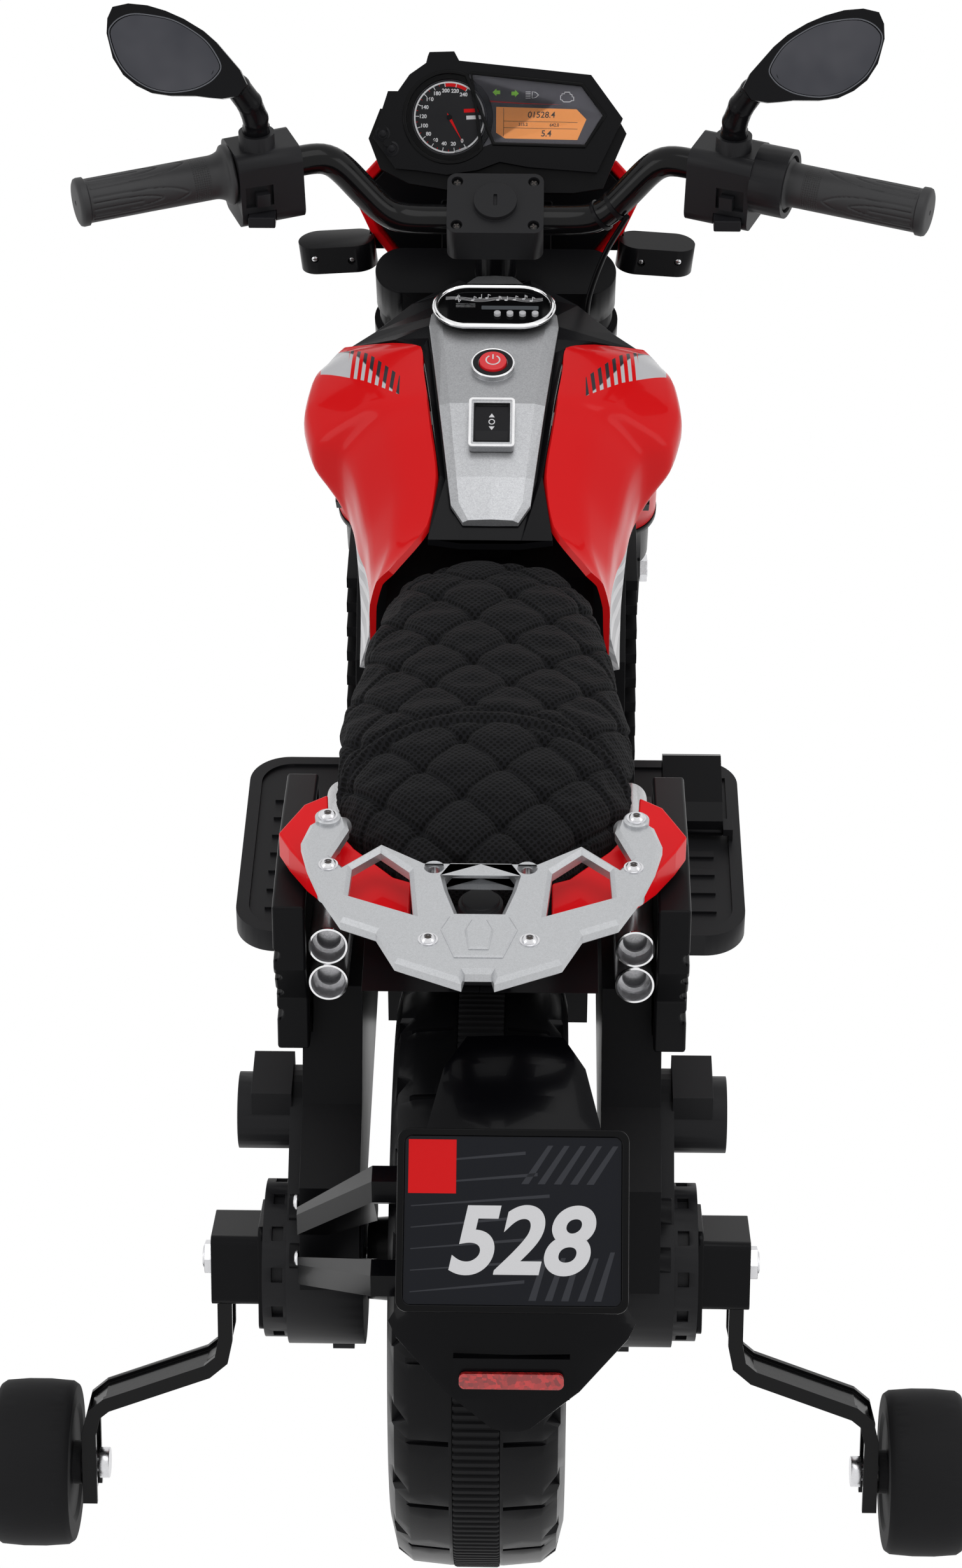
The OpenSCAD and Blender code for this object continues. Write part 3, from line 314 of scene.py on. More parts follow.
# %% Finish: moulded plastic
def moulded_plastic(name, colour, gloss, grain_size=0.5, grain_depth=0.03, drift=0.06, scuffs=0.25, shine=0.09):
    made, tree, shader = new_material(name)
    surface = effect(tree, moulded_surface, Grain_size=grain_size, Gloss=gloss, Gloss_drift=drift)
    pale = tuple(min(1, c * 1.7 + 0.012) for c in colour)
    worn = tree.math("MULTIPLY", surface.outputs["Scuffs"], scuffs)
    tree.feed(shader.inputs["Base Color"], tree.blend(worn, (*colour, 1), (*pale, 1)))
    tree.feed(shader.inputs["Roughness"], surface.outputs["Roughness"])
    shader.inputs["Specular IOR Level"].default_value = shine
    bump(tree, shader, surface.outputs["Height"], grain_depth)
    return made


black_plastic = moulded_plastic("black_grained_plastic", (0.012, 0.012, 0.0135), 0.46, shine=0.17)
smooth_plastic = moulded_plastic("black_smooth_plastic", (0.006, 0.006, 0.007), 0.26, 1.4, 0.02, 0.05, 0.15)
body_plastic = moulded_plastic("body_shell_plastic", (0.007, 0.007, 0.008), 0.36, 0.6, 0.03)
gloss_plastic = moulded_plastic("black_gloss_plastic", (0.004, 0.004, 0.0045), 0.10, 9.0, 0.02, 0.02, 0.05)
inner_plastic = moulded_plastic("battery_case", (0.05, 0.05, 0.055), 0.5)
blue_plastic = moulded_plastic("control_case", (0.02, 0.08, 0.2), 0.4)
button_plastic = moulded_plastic("black_button", (0.014, 0.014, 0.016), 0.3, 0.8, 0.02)
pale_plastic = moulded_plastic("pale_button", (0.62, 0.62, 0.64), 0.25, 0.8, 0.01)
print("moulded finishes", 8)

# %% [markdown]
# The tube, the arms and the mudguard are black but much glossier. Powder coat on steel flows into a
# soft orange peel, which a slow noise under a clear coat shows in every highlight.


# %% Finish: gloss coat on steel, paint and zinc
def gloss_coat(name, colour, peel_size, peel_depth, roughness=0.16, coat=0.6):
    made, tree, shader = new_material(name)
    here = tree.add("ShaderNodeTexCoord").outputs["Object"]
    peel = tree.add("ShaderNodeTexNoise", {"Vector": here, "Scale": 1000 / peel_size, "Detail": 1.5})
    slow = tree.add("ShaderNodeTexNoise", {"Vector": here, "Scale": 7.0, "Detail": 3.0})
    darker = tuple(c * 0.93 for c in colour)
    tree.feed(shader.inputs["Base Color"], tree.blend(slow.outputs["Fac"], (*darker, 1), (*colour, 1)))
    tree.feed(shader.inputs["Roughness"], tree.math("ADD", tree.math("MULTIPLY", slow.outputs["Fac"], 0.08), roughness))
    shader.inputs["Specular IOR Level"].default_value = 0.08
    shader.inputs["Coat Weight"].default_value = coat
    shader.inputs["Coat Roughness"].default_value = 0.05
    bump(tree, shader, peel.outputs["Fac"], peel_depth)
    return made


def zinc(name, tint, roughness):
    made, tree, shader = new_material(name)
    here = tree.add("ShaderNodeTexCoord").outputs["Object"]
    spangle = tree.add("ShaderNodeTexVoronoi", {"Vector": here, "Scale": 900.0})
    brush = tree.add("ShaderNodeTexNoise", {"Vector": here, "Scale": 400.0, "Detail": 4.0})
    dark = tuple(c * 0.72 for c in tint)
    tree.feed(shader.inputs["Base Color"], tree.blend(brush.outputs["Fac"], (*dark, 1), (*tint, 1)))
    shader.inputs["Metallic"].default_value = 1.0
    tree.feed(shader.inputs["Roughness"], tree.math("ADD", tree.math("MULTIPLY", brush.outputs["Fac"], 0.2), roughness))
    bump(tree, shader, spangle.outputs["Distance"], 0.02)
    return made


powder_coat = gloss_coat("black_powder_coat", (0.004, 0.004, 0.0045), 5.0, 0.05, 0.16, 0.2)
mudguard_gloss = gloss_coat("black_mudguard_gloss", (0.002, 0.002, 0.003), 14.0, 0.04, 0.18, 0.05)
red_gloss = gloss_coat("red_panel_paint", (0.92, 0.004, 0.009), 8.0, 0.02, 0.25, 0.13)
zinc_plate = zinc("zinc_plate", (0.80, 0.80, 0.82), 0.18)
motor_zinc = zinc("motor_can", (0.55, 0.55, 0.57), 0.3)
print("coated finishes", 5)

# %% [markdown]
# Two greys of silver appear: the wide rail and the console are painted with flakes, while the ring
# round the audio player and the rims of the switches are vacuum chromed and nearly mirror bright.


# %% Finish: silver paint and chrome
def silver_paint(name, dark, light, roughness, flake_size=0.45):
    made, tree, shader = new_material(name)
    flakes = effect(tree, flakes_and_painted_glint, Flake_size=flake_size, Dark=(*dark, 1), Light=(*light, 1))
    # the flake colour carries painted glint as well as the paint's own tone
    tree.feed(shader.inputs["Base Color"], flakes.outputs["Colour"])
    shader.inputs["Metallic"].default_value = 0.75
    shader.inputs["Roughness"].default_value = roughness
    bump(tree, shader, flakes.outputs["Height"], 0.006)
    return made


def chrome_finish():
    made, tree, shader = new_material("chrome")
    here = tree.add("ShaderNodeTexCoord").outputs["Object"]
    haze = tree.add("ShaderNodeTexNoise", {"Vector": here, "Scale": 120.0, "Detail": 3.0})
    tree.feed(shader.inputs["Base Color"], tree.blend(haze.outputs["Fac"], (0.78, 0.78, 0.8, 1), (0.9, 0.9, 0.9, 1)))
    shader.inputs["Metallic"].default_value = 1.0
    tree.feed(shader.inputs["Roughness"], tree.math("MULTIPLY", haze.outputs["Fac"], 0.16))
    return made


rail_silver = silver_paint("rail_silver", (0.44, 0.45, 0.46), (0.60, 0.61, 0.63), 0.30, 0.3)
console_silver = silver_paint("console_silver", (0.29, 0.295, 0.305), (0.46, 0.465, 0.48), 0.38)
pipe_silver = silver_paint("exhaust_silver", (0.42, 0.42, 0.43), (0.68, 0.68, 0.70), 0.26)
chrome = chrome_finish()
print("silver finishes", 4)

# %% [markdown]
# The tank panels carry a row of slanted slots on each shoulder, dark at the top and pale at the
# bottom, and a grey flash along the lower edge. They are printed film, so they have no thickness
# worth modelling. Both panels are mirror images, so the mask is worked out from the distance to the
# middle plane and one material serves both.

# %% Finish: red tank with its decals
SLOT_PITCH = 4.3
SLOT_FROM = 55.5
SLOT_TO = 86.0
FLASH_TO = 103.0


def tank_paint():
    made, tree, shader = new_material("red_tank_paint")
    here, x, y, z = tree.place()
    side = tree.math("DIVIDE", tree.math("ABSOLUTE", x), MM)
    ahead = tree.math("DIVIDE", tree.math("SUBTRACT", y, AXLE.y), MM)
    height = tree.math("DIVIDE", z, MM)
    low_edge = tree.math("ADD", tree.math("MULTIPLY", tree.math("SUBTRACT", side, 56.0), 0.80), 405.0)
    high_edge = tree.math("ADD", tree.math("MULTIPLY", tree.math("SUBTRACT", side, 56.0), 1.25), 421.0)
    up = tree.math("DIVIDE", tree.math("SUBTRACT", ahead, low_edge), tree.math("SUBTRACT", high_edge, low_edge))
    inside_band = tree.math("MULTIPLY", tree.ramp(up, -0.01, 0.01), tree.ramp(up, 1.01, 0.99))
    shoulder = tree.ramp(height, 438.0, 440.0)
    lean = tree.math("ADD", side, tree.math("MULTIPLY", up, 1.5))
    bar = tree.math("PINGPONG", tree.math("DIVIDE", tree.math("SUBTRACT", lean, SLOT_FROM), SLOT_PITCH), 0.5)
    slots = tree.math("MULTIPLY", tree.ramp(bar, 0.26, 0.22), tree.ramp(side, SLOT_FROM - 1, SLOT_FROM - 0.8))
    slots = tree.math("MULTIPLY", slots, tree.ramp(side, SLOT_TO + 0.2, SLOT_TO))
    flash = tree.math("MULTIPLY", tree.ramp(side, SLOT_TO - 0.2, SLOT_TO), tree.ramp(side, FLASH_TO, FLASH_TO - 0.3))
    decal = tree.math("MULTIPLY", tree.math("MULTIPLY", tree.math("MAXIMUM", slots, flash), inside_band), shoulder)
    fade = tree.math("ADD", up, tree.math("MULTIPLY", tree.math("SUBTRACT", 72.0, side), 0.028))
    film = tree.blend(tree.ramp(fade, 0.42, 0.5), (0.62, 0.62, 0.64, 1), (0.035, 0.035, 0.042, 1))
    lower = tree.math("MULTIPLY", tree.ramp(height, 388.0, 386.5), tree.ramp(ahead, 392.0, 390.0))
    lower = tree.math("MULTIPLY", lower, tree.ramp(side, 69.0, 69.5))
    stripe = tree.math("PINGPONG", tree.math("DIVIDE", tree.math("ADD", height, side), 4.0), 1.0)
    grey = tree.blend(tree.ramp(stripe, 0.55, 0.6), (0.46, 0.46, 0.48, 1), (0.70, 0.70, 0.72, 1))
    slow = tree.add("ShaderNodeTexNoise", {"Vector": here, "Scale": 7.0, "Detail": 3.0})
    red = tree.blend(slow.outputs["Fac"], (0.74, 0.006, 0.008, 1), (0.84, 0.010, 0.012, 1))
    painted = tree.blend(decal, red, film)
    tree.feed(shader.inputs["Base Color"], tree.blend(lower, painted, grey))
    tree.feed(shader.inputs["Roughness"], tree.math("ADD", tree.math("MULTIPLY", slow.outputs["Fac"], 0.06), 0.18))
    shader.inputs["Specular IOR Level"].default_value = 0.08
    shader.inputs["Coat Weight"].default_value = 0.14
    shader.inputs["Coat Roughness"].default_value = 0.05
    peel = tree.add("ShaderNodeTexNoise", {"Vector": here, "Scale": 110.0, "Detail": 1.0})
    bump(tree, shader, peel.outputs["Fac"], 0.02)
    return made


tank_red = tank_paint()
print("slots on each shoulder", int((SLOT_TO - SLOT_FROM) / SLOT_PITCH) + 1)

# %% [markdown]
# Rubber and cloth scatter light at a glancing angle. Rubber gets a dry, dusty look from a high
# roughness, and the cloth gets sheen and the perforated knit, whose holes hold painted shade.


# %% Finish: rubber
def rubber(name, colour, roughness, speck=0.8):
    made, tree, shader = new_material(name)
    surface = effect(tree, moulded_surface, Grain_size=speck, Gloss=roughness, Gloss_drift=0.1)
    dusty = tuple(c * 2.0 + 0.01 for c in colour)
    dust = tree.math("MULTIPLY", surface.outputs["Scuffs"], 0.35)
    tree.feed(shader.inputs["Base Color"], tree.blend(dust, (*colour, 1), (*dusty, 1)))
    tree.feed(shader.inputs["Roughness"], surface.outputs["Roughness"])
    shader.inputs["Specular IOR Level"].default_value = 0.1
    bump(tree, shader, surface.outputs["Height"], 0.04)
    return made


tyre_plastic = rubber("tyre_satin", (0.008, 0.008, 0.009), 0.30)
band_rubber = rubber("tyre_band_rubber", (0.014, 0.014, 0.015), 0.62)
grip_rubber = rubber("grip_rubber", (0.006, 0.006, 0.0075), 0.58)
cable_rubber = rubber("cable_sleeve", (0.006, 0.006, 0.007), 0.3)
print("rubber finishes", 4)


# %% Finish: seat cloth
def seat_cloth():
    made, tree, shader = new_material("spacer_fabric_black")
    knit = effect(tree, spacer_fabric, Pitch=3.6, Hole=0.31, Thread=0.6)
    cloth = tree.blend(knit.outputs["Tone"], (0.0085, 0.0085, 0.010, 1), (0.0135, 0.0135, 0.0155, 1))
    # painted shade: the perforations are coloured near black for the shade inside the holes
    tree.feed(shader.inputs["Base Color"], tree.blend(knit.outputs["Holes"], cloth, (0.0008, 0.0008, 0.0008, 1)))
    shader.inputs["Roughness"].default_value = 0.8
    shader.inputs["Sheen Weight"].default_value = 0.03
    shader.inputs["Sheen Roughness"].default_value = 0.5
    shader.inputs["Specular IOR Level"].default_value = 0.12
    bump(tree, shader, knit.outputs["Height"], 0.5)
    return made


seat_fabric = seat_cloth()
print("finish", seat_fabric.name)


# %% Finish: printed films, lamps and glass
def printed(name, colour, roughness=0.35, painted_glow=0.0, speck=0.5, shine=0.5):
    """Ink or film: one colour with a slight unevenness, and an optional painted glow that makes unlit print shine as if
    lit.
    """
    made, tree, shader = new_material(name)
    surface = effect(tree, moulded_surface, Grain_size=speck, Gloss=roughness, Gloss_drift=0.04)
    dim = tuple(c * 0.9 for c in colour)
    tone = tree.blend(surface.outputs["Height"], (*dim, 1), (*colour, 1))
    tree.feed(shader.inputs["Base Color"], tone)
    tree.feed(shader.inputs["Roughness"], surface.outputs["Roughness"])
    shader.inputs["Specular IOR Level"].default_value = shine
    # painted glow: emission gives the print a light of its own, though it is no lamp
    if painted_glow:
        tree.feed(shader.inputs["Emission Color"], tone)
        shader.inputs["Emission Strength"].default_value = painted_glow
    return made


def window_glass():
    """The clear window over the instruments: seen through straight on, shiny at a slant."""
    made, tree, shader = new_material("instrument_window")
    here = tree.add("ShaderNodeTexCoord").outputs["Object"]
    smear = tree.add("ShaderNodeTexNoise", {"Vector": here, "Scale": 25.0, "Detail": 3.0})
    shader.inputs["Base Color"].default_value = (0.35, 0.36, 0.42, 1)
    tree.feed(shader.inputs["Roughness"], tree.math("MULTIPLY", smear.outputs["Fac"], 0.12))
    tree.feed(shader.inputs["Alpha"], tree.math("ADD", tree.math("MULTIPLY", smear.outputs["Fac"], 0.04), 0.02))
    return made


def mirror_finish():
    made, tree, shader = new_material("mirror_glass")
    here = tree.add("ShaderNodeTexCoord").outputs["Object"]
    wave = tree.add("ShaderNodeTexNoise", {"Vector": here, "Scale": 30.0, "Detail": 2.0})
    tree.feed(shader.inputs["Base Color"], tree.blend(wave.outputs["Fac"], (0.035, 0.037, 0.045, 1), (0.09, 0.09, 0.10, 1)))
    shader.inputs["Metallic"].default_value = 1.0
    tree.feed(shader.inputs["Roughness"], tree.math("ADD", tree.math("MULTIPLY", wave.outputs["Fac"], 0.1), 0.03))
    bump(tree, shader, wave.outputs["Fac"], 0.15)
    return made


def reflector_finish(name, colour):
    """A reflector is moulded from small cubes behind a smooth face, which show as slanting cells; the darker and
    brighter cells are painted reflection of the cubes.
    """
    made, tree, shader = new_material(name)
    here = tree.add("ShaderNodeTexCoord").outputs["Object"]
    cells = tree.add("ShaderNodeTexVoronoi", {"Vector": here, "Scale": 420.0}, distance="CHEBYCHEV")
    tone = tree.add("ShaderNodeSeparateColor", {"Color": cells.outputs["Color"]})
    deep = tuple(c * 0.35 for c in colour)
    # painted reflection: each cube cell is darkened or brightened in the colour as the cubes would reflect light
    tree.feed(shader.inputs["Base Color"], tree.blend(tone.outputs[0], (*deep, 1), (*colour, 1)))
    shader.inputs["Roughness"].default_value = 0.12
    shader.inputs["Coat Weight"].default_value = 0.8
    bump(tree, shader, cells.outputs["Distance"], 0.3)
    return made


white_ink = printed("white_ink", (0.80, 0.80, 0.82))
grey_ink = printed("grey_ink", (0.10, 0.105, 0.12))
smoke_ink = printed("smoke_ink", (0.035, 0.037, 0.045), shine=0.2)
# dark ink prints the display figures, and is also painted shade laid in the recesses of screws and bolts
dark_ink_and_slot_shade = printed("dark_ink_and_slot_shade", (0.03, 0.02, 0.015))
red_ink = printed("red_ink", (0.80, 0.008, 0.01), shine=0.15)
# painted glow: the green arrows are print, given a glow though they are no lamp
green_painted_glow = printed("green_ink_painted_glow", (0.25, 0.62, 0.05), 0.3, 0.25)
# painted glow: the amber display is print, given a glow though it is no lamp
amber_painted_glow = printed("amber_ink_painted_glow", (0.95, 0.34, 0.08), 0.35, 0.25)
lcd_grey = printed("lcd_window", (0.10, 0.11, 0.12), 0.2)
plate_black = printed("plate_film", (0.006, 0.007, 0.011), 0.2, 0.0, 2.0, 0.15)
dial_face = printed("instrument_face", (0.055, 0.052, 0.066), 0.4)
dial_black = printed("dial_face", (0.010, 0.010, 0.012), 0.45, shine=0.2)
# painted glow: the red power button is a moulding given a glow though it is no lamp
red_painted_glow = printed("red_button_painted_glow", (0.75, 0.012, 0.02), 0.18, 0.12)
glass = window_glass()
mirror = mirror_finish()
red_reflector = reflector_finish("red_reflector", (0.75, 0.02, 0.02))
clear_lens = reflector_finish("clear_lamp_lens", (0.72, 0.73, 0.76))
print("inks, lamps and glass", 15)

# %% [markdown]
# ## Dressing the nodes that stay
# The frame's nodes arrive with knife-sharp edges. Real mouldings have small rounds that catch a line
# of light, so each node gets a weld, to join the faces along their edges, and a narrow bevel.


# %% Round the edges and give each node its finish
def finish_node(name, material, edge=0.0, limit=35):
    obj = node[name]
    obj.data.materials.clear()
    obj.data.materials.append(material)
    if edge:
        weld = obj.modifiers.new("join_faces", "WELD")
        weld.merge_threshold = 0.00002
        flat = obj.modifiers.new("whole_faces", "DECIMATE")
        flat.decimate_type = "DISSOLVE"
        flat.angle_limit = math.radians(0.6)
        bevel = obj.modifiers.new("edge_round", "BEVEL")
        bevel.width = edge * MM
        bevel.segments = 2
        bevel.limit_method = "ANGLE"
        bevel.angle_limit = math.radians(limit)
        bevel.harden_normals = True
        bevel.miter_outer = "MITER_ARC"
    return obj


FINISHES = {
    "body_left": (body_plastic, 1.5), "body_right": (body_plastic, 1.5), "head_tube": (black_plastic, 1.0),
    "tank_left": (tank_red, 0.8), "tank_right": (tank_red, 0.8), "tank_spine": (smooth_plastic, 0.8),
    "console_panel": (console_silver, 0.7), "audio_unit": (gloss_plastic, 0.3), "seat_base": (black_plastic, 1.2),
    "seat_cushion": (seat_fabric, 0), "tail_cover": (red_gloss, 1.2), "grab_rail": (rail_silver, 0),
    "exhaust_pipes": (pipe_silver, 0.5), "side_panels": (body_plastic, 1.5), "foot_board": (black_plastic, 1.0),
    "battery": (inner_plastic, 1.5), "control_box": (blue_plastic, 1.0), "rear_frames": (body_plastic, 2.0),
    "gearboxes": (black_plastic, 1.2), "motors": (motor_zinc, 0.5), "rear_axle": (zinc_plate, 0.4),
    "stabiliser_boxes": (smooth_plastic, 1.2), "stabiliser_arms": (powder_coat, 0.8),
    "stabiliser_axles": (zinc_plate, 0.5), "rear_mudguard": (mudguard_gloss, 0.8), "number_plate": (gloss_plastic, 0.6),
    "rear_reflector": (red_reflector, 0.4), "fork_crown": (smooth_plastic, 1.5), "fork_legs": (smooth_plastic, 1.0),
    "fork_guards": (red_gloss, 0.6), "front_axle": (zinc_plate, 0.4), "front_mudguard": (red_gloss, 0.5),
    "handlebar": (powder_coat, 0), "clamp_box": (black_plastic, 1.2), "dash_housing": (smooth_plastic, 1.6),
    "dash_face": (dial_face, 0), "cowl": (red_gloss, 1.5), "headlight": (smooth_plastic, 1.0),
    "turn_signals": (smooth_plastic, 2.0), "switch_left": (black_plastic, 1.2), "switch_right": (black_plastic, 1.2),
    "grip_left": (grip_rubber, 0.4), "throttle_cable": (cable_rubber, 0), "front_wheel": (tyre_plastic, 0.5),
    "rear_wheel": (tyre_plastic, 0.5), "rear_band": (band_rubber, 0.3), "stabiliser_wheel_left": (band_rubber, 0.5),
    "stabiliser_wheel_right": (band_rubber, 0.5), "accelerator_pedal": (smooth_plastic, 1.0),
    "throttle_grip": (grip_rubber, 0.4), "mirror_left": (smooth_plastic, 1.2), "mirror_right": (smooth_plastic, 1.2),
    # the power button's colour carries a painted glow
    "power_button": (red_painted_glow, 0.6), "direction_switch": (button_plastic, 0.5), "music_button_1": (pale_plastic, 0.3),
    "music_button_2": (pale_plastic, 0.3), "music_button_3": (pale_plastic, 0.3), "music_button_4": (pale_plastic, 0.3),
    "horn_button": (button_plastic, 0.8), "start_button": (button_plastic, 0.8),
}
for name, (material, edge) in FINISHES.items():
    finish_node(name, material, edge)
print("nodes dressed", len(FINISHES), "of", len(node))

# %% [markdown]
# ## Making pieces
# New pieces are meshes made from points and faces. Three makers cover nearly everything on this
# motorbike: a flat shape with a thickness, a lathe for turned parts and a sweep for tubes.


# %% Piece makers
def piece(name, verts, faces, material, body, slot, place=None, smooth=40, edge=0.0):
    """A mesh object from points in mm in the frame `place`, riding on a body of the frame."""
    mesh = bpy.data.meshes.new(name)
    place = place or Matrix.Translation((0, 0, 0))
    mesh.from_pydata([place @ (Vector(v) * MM) for v in verts], [], faces)
    bm = bmesh.new()
    bm.from_mesh(mesh)
    bmesh.ops.recalc_face_normals(bm, faces=bm.faces)
    bm.to_mesh(mesh)
    bm.free()
    mesh.materials.append(material)
    mesh.shade_smooth()
    mesh.set_sharp_from_angle(angle=math.radians(smooth))
    made = bpy.data.objects.new(name, mesh)
    bpy.context.scene.collection.objects.link(made)
    if edge:
        bevel = made.modifiers.new("edge_round", "BEVEL")
        bevel.width = edge * MM
        bevel.segments = 2
        bevel.limit_method = "ANGLE"
        bevel.angle_limit = math.radians(30)
    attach(made, body)
    return made


def slab(outlines, low, high):
    """Points and faces of flat plates: each outline is a list of (x, y), drawn from low to high."""
    verts, faces = [], []
    for line in outlines:
        first, n = len(verts), len(line)
        verts += [(x, y, low) for x, y in line] + [(x, y, high) for x, y in line]
        faces.append([first + n + i for i in range(n)])
        faces.append([first + n - 1 - i for i in range(n)])
        faces += [[first + i, first + (i + 1) % n, first + n + (i + 1) % n, first + n + i] for i in range(n)]
    return verts, faces


def lathe(profile, sides=48, start=0.0, sweep=360.0):
    """Points and faces of a ring: profile is a closed list of (radius, height) turned about Z."""
    verts, faces, n = [], [], len(profile)
    for k in range(sides):
        a = math.radians(start + sweep * k / sides)
        verts += [(r * math.cos(a), r * math.sin(a), z) for r, z in profile]
    for k in range(sides):
        nxt = (k + 1) % sides
        faces += [[k * n + i, nxt * n + i, nxt * n + (i + 1) % n, k * n + (i + 1) % n] for i in range(n)]
    return verts, faces


def sweep_tube(points, radius, sides=16):
    """Points and faces of a tube along points, with closed ends. radius may depend on the index."""
    points = [Vector(p) for p in points]
    verts, faces, last = [], [], len(points) - 1
    heading = (points[1] - points[0]).normalized()
    across = heading.orthogonal().normalized()
    for k, p in enumerate(points):
        new = (points[min(k + 1, last)] - points[max(k - 1, 0)]).normalized()
        across = (heading.rotation_difference(new) @ across).normalized()
        heading = new
        side = heading.cross(across)
        r = radius(k / last) if callable(radius) else radius
        for i in range(sides):
            a = 2 * math.pi * i / sides
            verts.append(p + r * (across * math.cos(a) + side * math.sin(a)))
    for k in range(last):
        for i in range(sides):
            j = (i + 1) % sides
            faces.append([k * sides + i, k * sides + j, (k + 1) * sides + j, (k + 1) * sides + i])
    faces.append([sides - 1 - i for i in range(sides)])
    faces.append([last * sides + i for i in range(sides)])
    return verts, faces


def rounded(points, step=6.0, turns=3):
    """A route with its corners rounded by repeated corner cutting, then resampled evenly."""
    line = [Vector(p) for p in points]
    for _ in range(turns):
        cut = [line[0]]
        for a, b in zip(line, line[1:]):
            cut += [a * 0.75 + b * 0.25, a * 0.25 + b * 0.75]
        line = cut + [line[-1]]
    out, left = [line[0]], step
    for a, b in zip(line, line[1:]):
        length = (b - a).length
        while left < length:
            out.append(a + (b - a) * (left / length))
            left += step
        left -= length
    return out + [line[-1]]


def arc(cx, cy, r, a0, a1, n=24):
    return [(cx + r * math.cos(math.radians(a0 + (a1 - a0) * i / n)),
             cy + r * math.sin(math.radians(a0 + (a1 - a0) * i / n))) for i in range(n + 1)]


def round_rect(cx, cy, w, h, r):
    out = []
    for sx, sy, a in ((1, 1, 0), (-1, 1, 90), (-1, -1, 180), (1, -1, 270)):
        out += arc(cx + sx * (w / 2 - r), cy + sy * (h / 2 - r), r, a, a + 90, 6)
    return out


def stadium(length, width, n=20):
    half = (length - width) / 2
    return arc(half, 0, width / 2, -90, 90, n) + arc(-half, 0, width / 2, 90, 270, n)


print("makers ready")

# %% [markdown]
# Small parts are joined before they become an object: ten screws are one piece, not ten. A part is
# just its points and faces, so joining, shifting and mirroring are a few lines each.


# %% Part helpers
def combine(*parts):
    verts, faces = [], []
    for v, f in parts:
        first = len(verts)
        verts += list(v)
        faces += [[first + i for i in face] for face in f]
    return verts, faces


def moved(part, place):
    """A part through a frame whose origin is in metres, with its points staying in mm."""
    return [(place @ (Vector(v) * MM)) / MM for v in part[0]], part[1]


def shifted(part, x=0.0, y=0.0, z=0.0, turn=0.0):
    spin = Matrix.Rotation(math.radians(turn), 3, "Z")
    return [spin @ Vector(v) + Vector((x, y, z)) for v in part[0]], part[1]


def line(a, b, width, low, high):
    """A straight bar of a given width from a to b, as a thin slab."""
    a, b = Vector(a), Vector(b)
    side = (b - a).normalized().orthogonal() * width / 2
    return slab([[a + side, b + side, b - side, a - side]], low, high)


def band(points, width, low, high, closed=False):
    """A strip of constant width that follows points."""
    points = [Vector(p) for p in points]
    n = len(points)
    inner, outer = [], []
    for i, p in enumerate(points):
        before = points[i - 1] if closed or i else p
        after = points[(i + 1) % n] if closed or i < n - 1 else p
        side = (after - before).normalized().orthogonal() * width / 2
        outer.append(p + side)
        inner.append(p - side)
    verts = [(q.x, q.y, z) for z in (low, high) for pair in zip(inner, outer) for q in pair]
    faces, top = [], 2 * n
    for i in range(n if closed else n - 1):
        a, b = 2 * i, 2 * ((i + 1) % n)
        faces += [[top + a, top + b, top + b + 1, top + a + 1], [a, a + 1, b + 1, b]]
        faces += [[a, b, top + b, top + a], [a + 1, top + a + 1, top + b + 1, b + 1]]
    if not closed:
        e = 2 * (n - 1)
        faces += [[0, top, top + 1, 1], [e, e + 1, top + e + 1, top + e]]
    return verts, faces


def numerals(text, size, thick, shear=0.0, bold=0.0):
    """Plain figures from Blender's own font, as a part centred on its origin."""
    curve = bpy.data.curves.new("figures", "FONT")
    curve.body = text
    curve.size = size
    curve.align_x = "CENTER"
    curve.align_y = "CENTER"
    curve.extrude = thick / 2
    curve.shear = shear
    curve.offset = bold
    holder = bpy.data.objects.new("figures", curve)
    mesh = bpy.data.meshes.new_from_object(holder)
    part = [v.co.copy() for v in mesh.vertices], [list(p.vertices) for p in mesh.polygons]
    bpy.data.objects.remove(holder)
    bpy.data.meshes.remove(mesh)
    bpy.data.curves.remove(curve)
    return part


def closed_spline(points, steps=5):
    """A smooth closed line through the points."""
    out, n = [], len(points)
    for i in range(n):
        p = [Vector(points[(i + k) % n]) for k in (-1, 0, 1, 2)]
        for s in range(steps):
            t = s / steps
            out.append(0.5 * (2 * p[1] + (p[2] - p[0]) * t + (2 * p[0] - 5 * p[1] + 4 * p[2] - p[3]) * t * t
                              + (3 * p[1] - p[0] - 3 * p[2] + p[3]) * t ** 3))
    return out


def skin(rings, close_first=True, close_last=True):
    """Points and faces over a row of equal closed rings."""
    verts, faces, n = [], [], len(rings[0])
    for ring in rings:
        verts += list(ring)
    for k in range(len(rings) - 1):
        for i in range(n):
            j = (i + 1) % n
            faces.append([k * n + i, k * n + j, (k + 1) * n + j, (k + 1) * n + i])
    if close_first:
        faces.append(list(range(n - 1, -1, -1)))
    if close_last:
        faces.append([(len(rings) - 1) * n + i for i in range(n)])
    return verts, faces


def cross_screw(r=3.2, tall=1.8):
    """A pan-head screw with a cross slot, as a head and a dark cross laid in it as painted shade of the recess."""
    dome = [(0.01, 0), (r, 0), (r, tall * 0.35), (r * 0.82, tall * 0.8), (r * 0.5, tall), (0.01, tall)]
    head = lathe(dome, 24)
    arm = r * 0.62
    cross = combine(line((-arm, 0), (arm, 0), r * 0.26, tall - 0.3, tall + 0.06),
                    line((0, -arm), (0, arm), r * 0.26, tall - 0.3, tall + 0.06))
    return head, cross


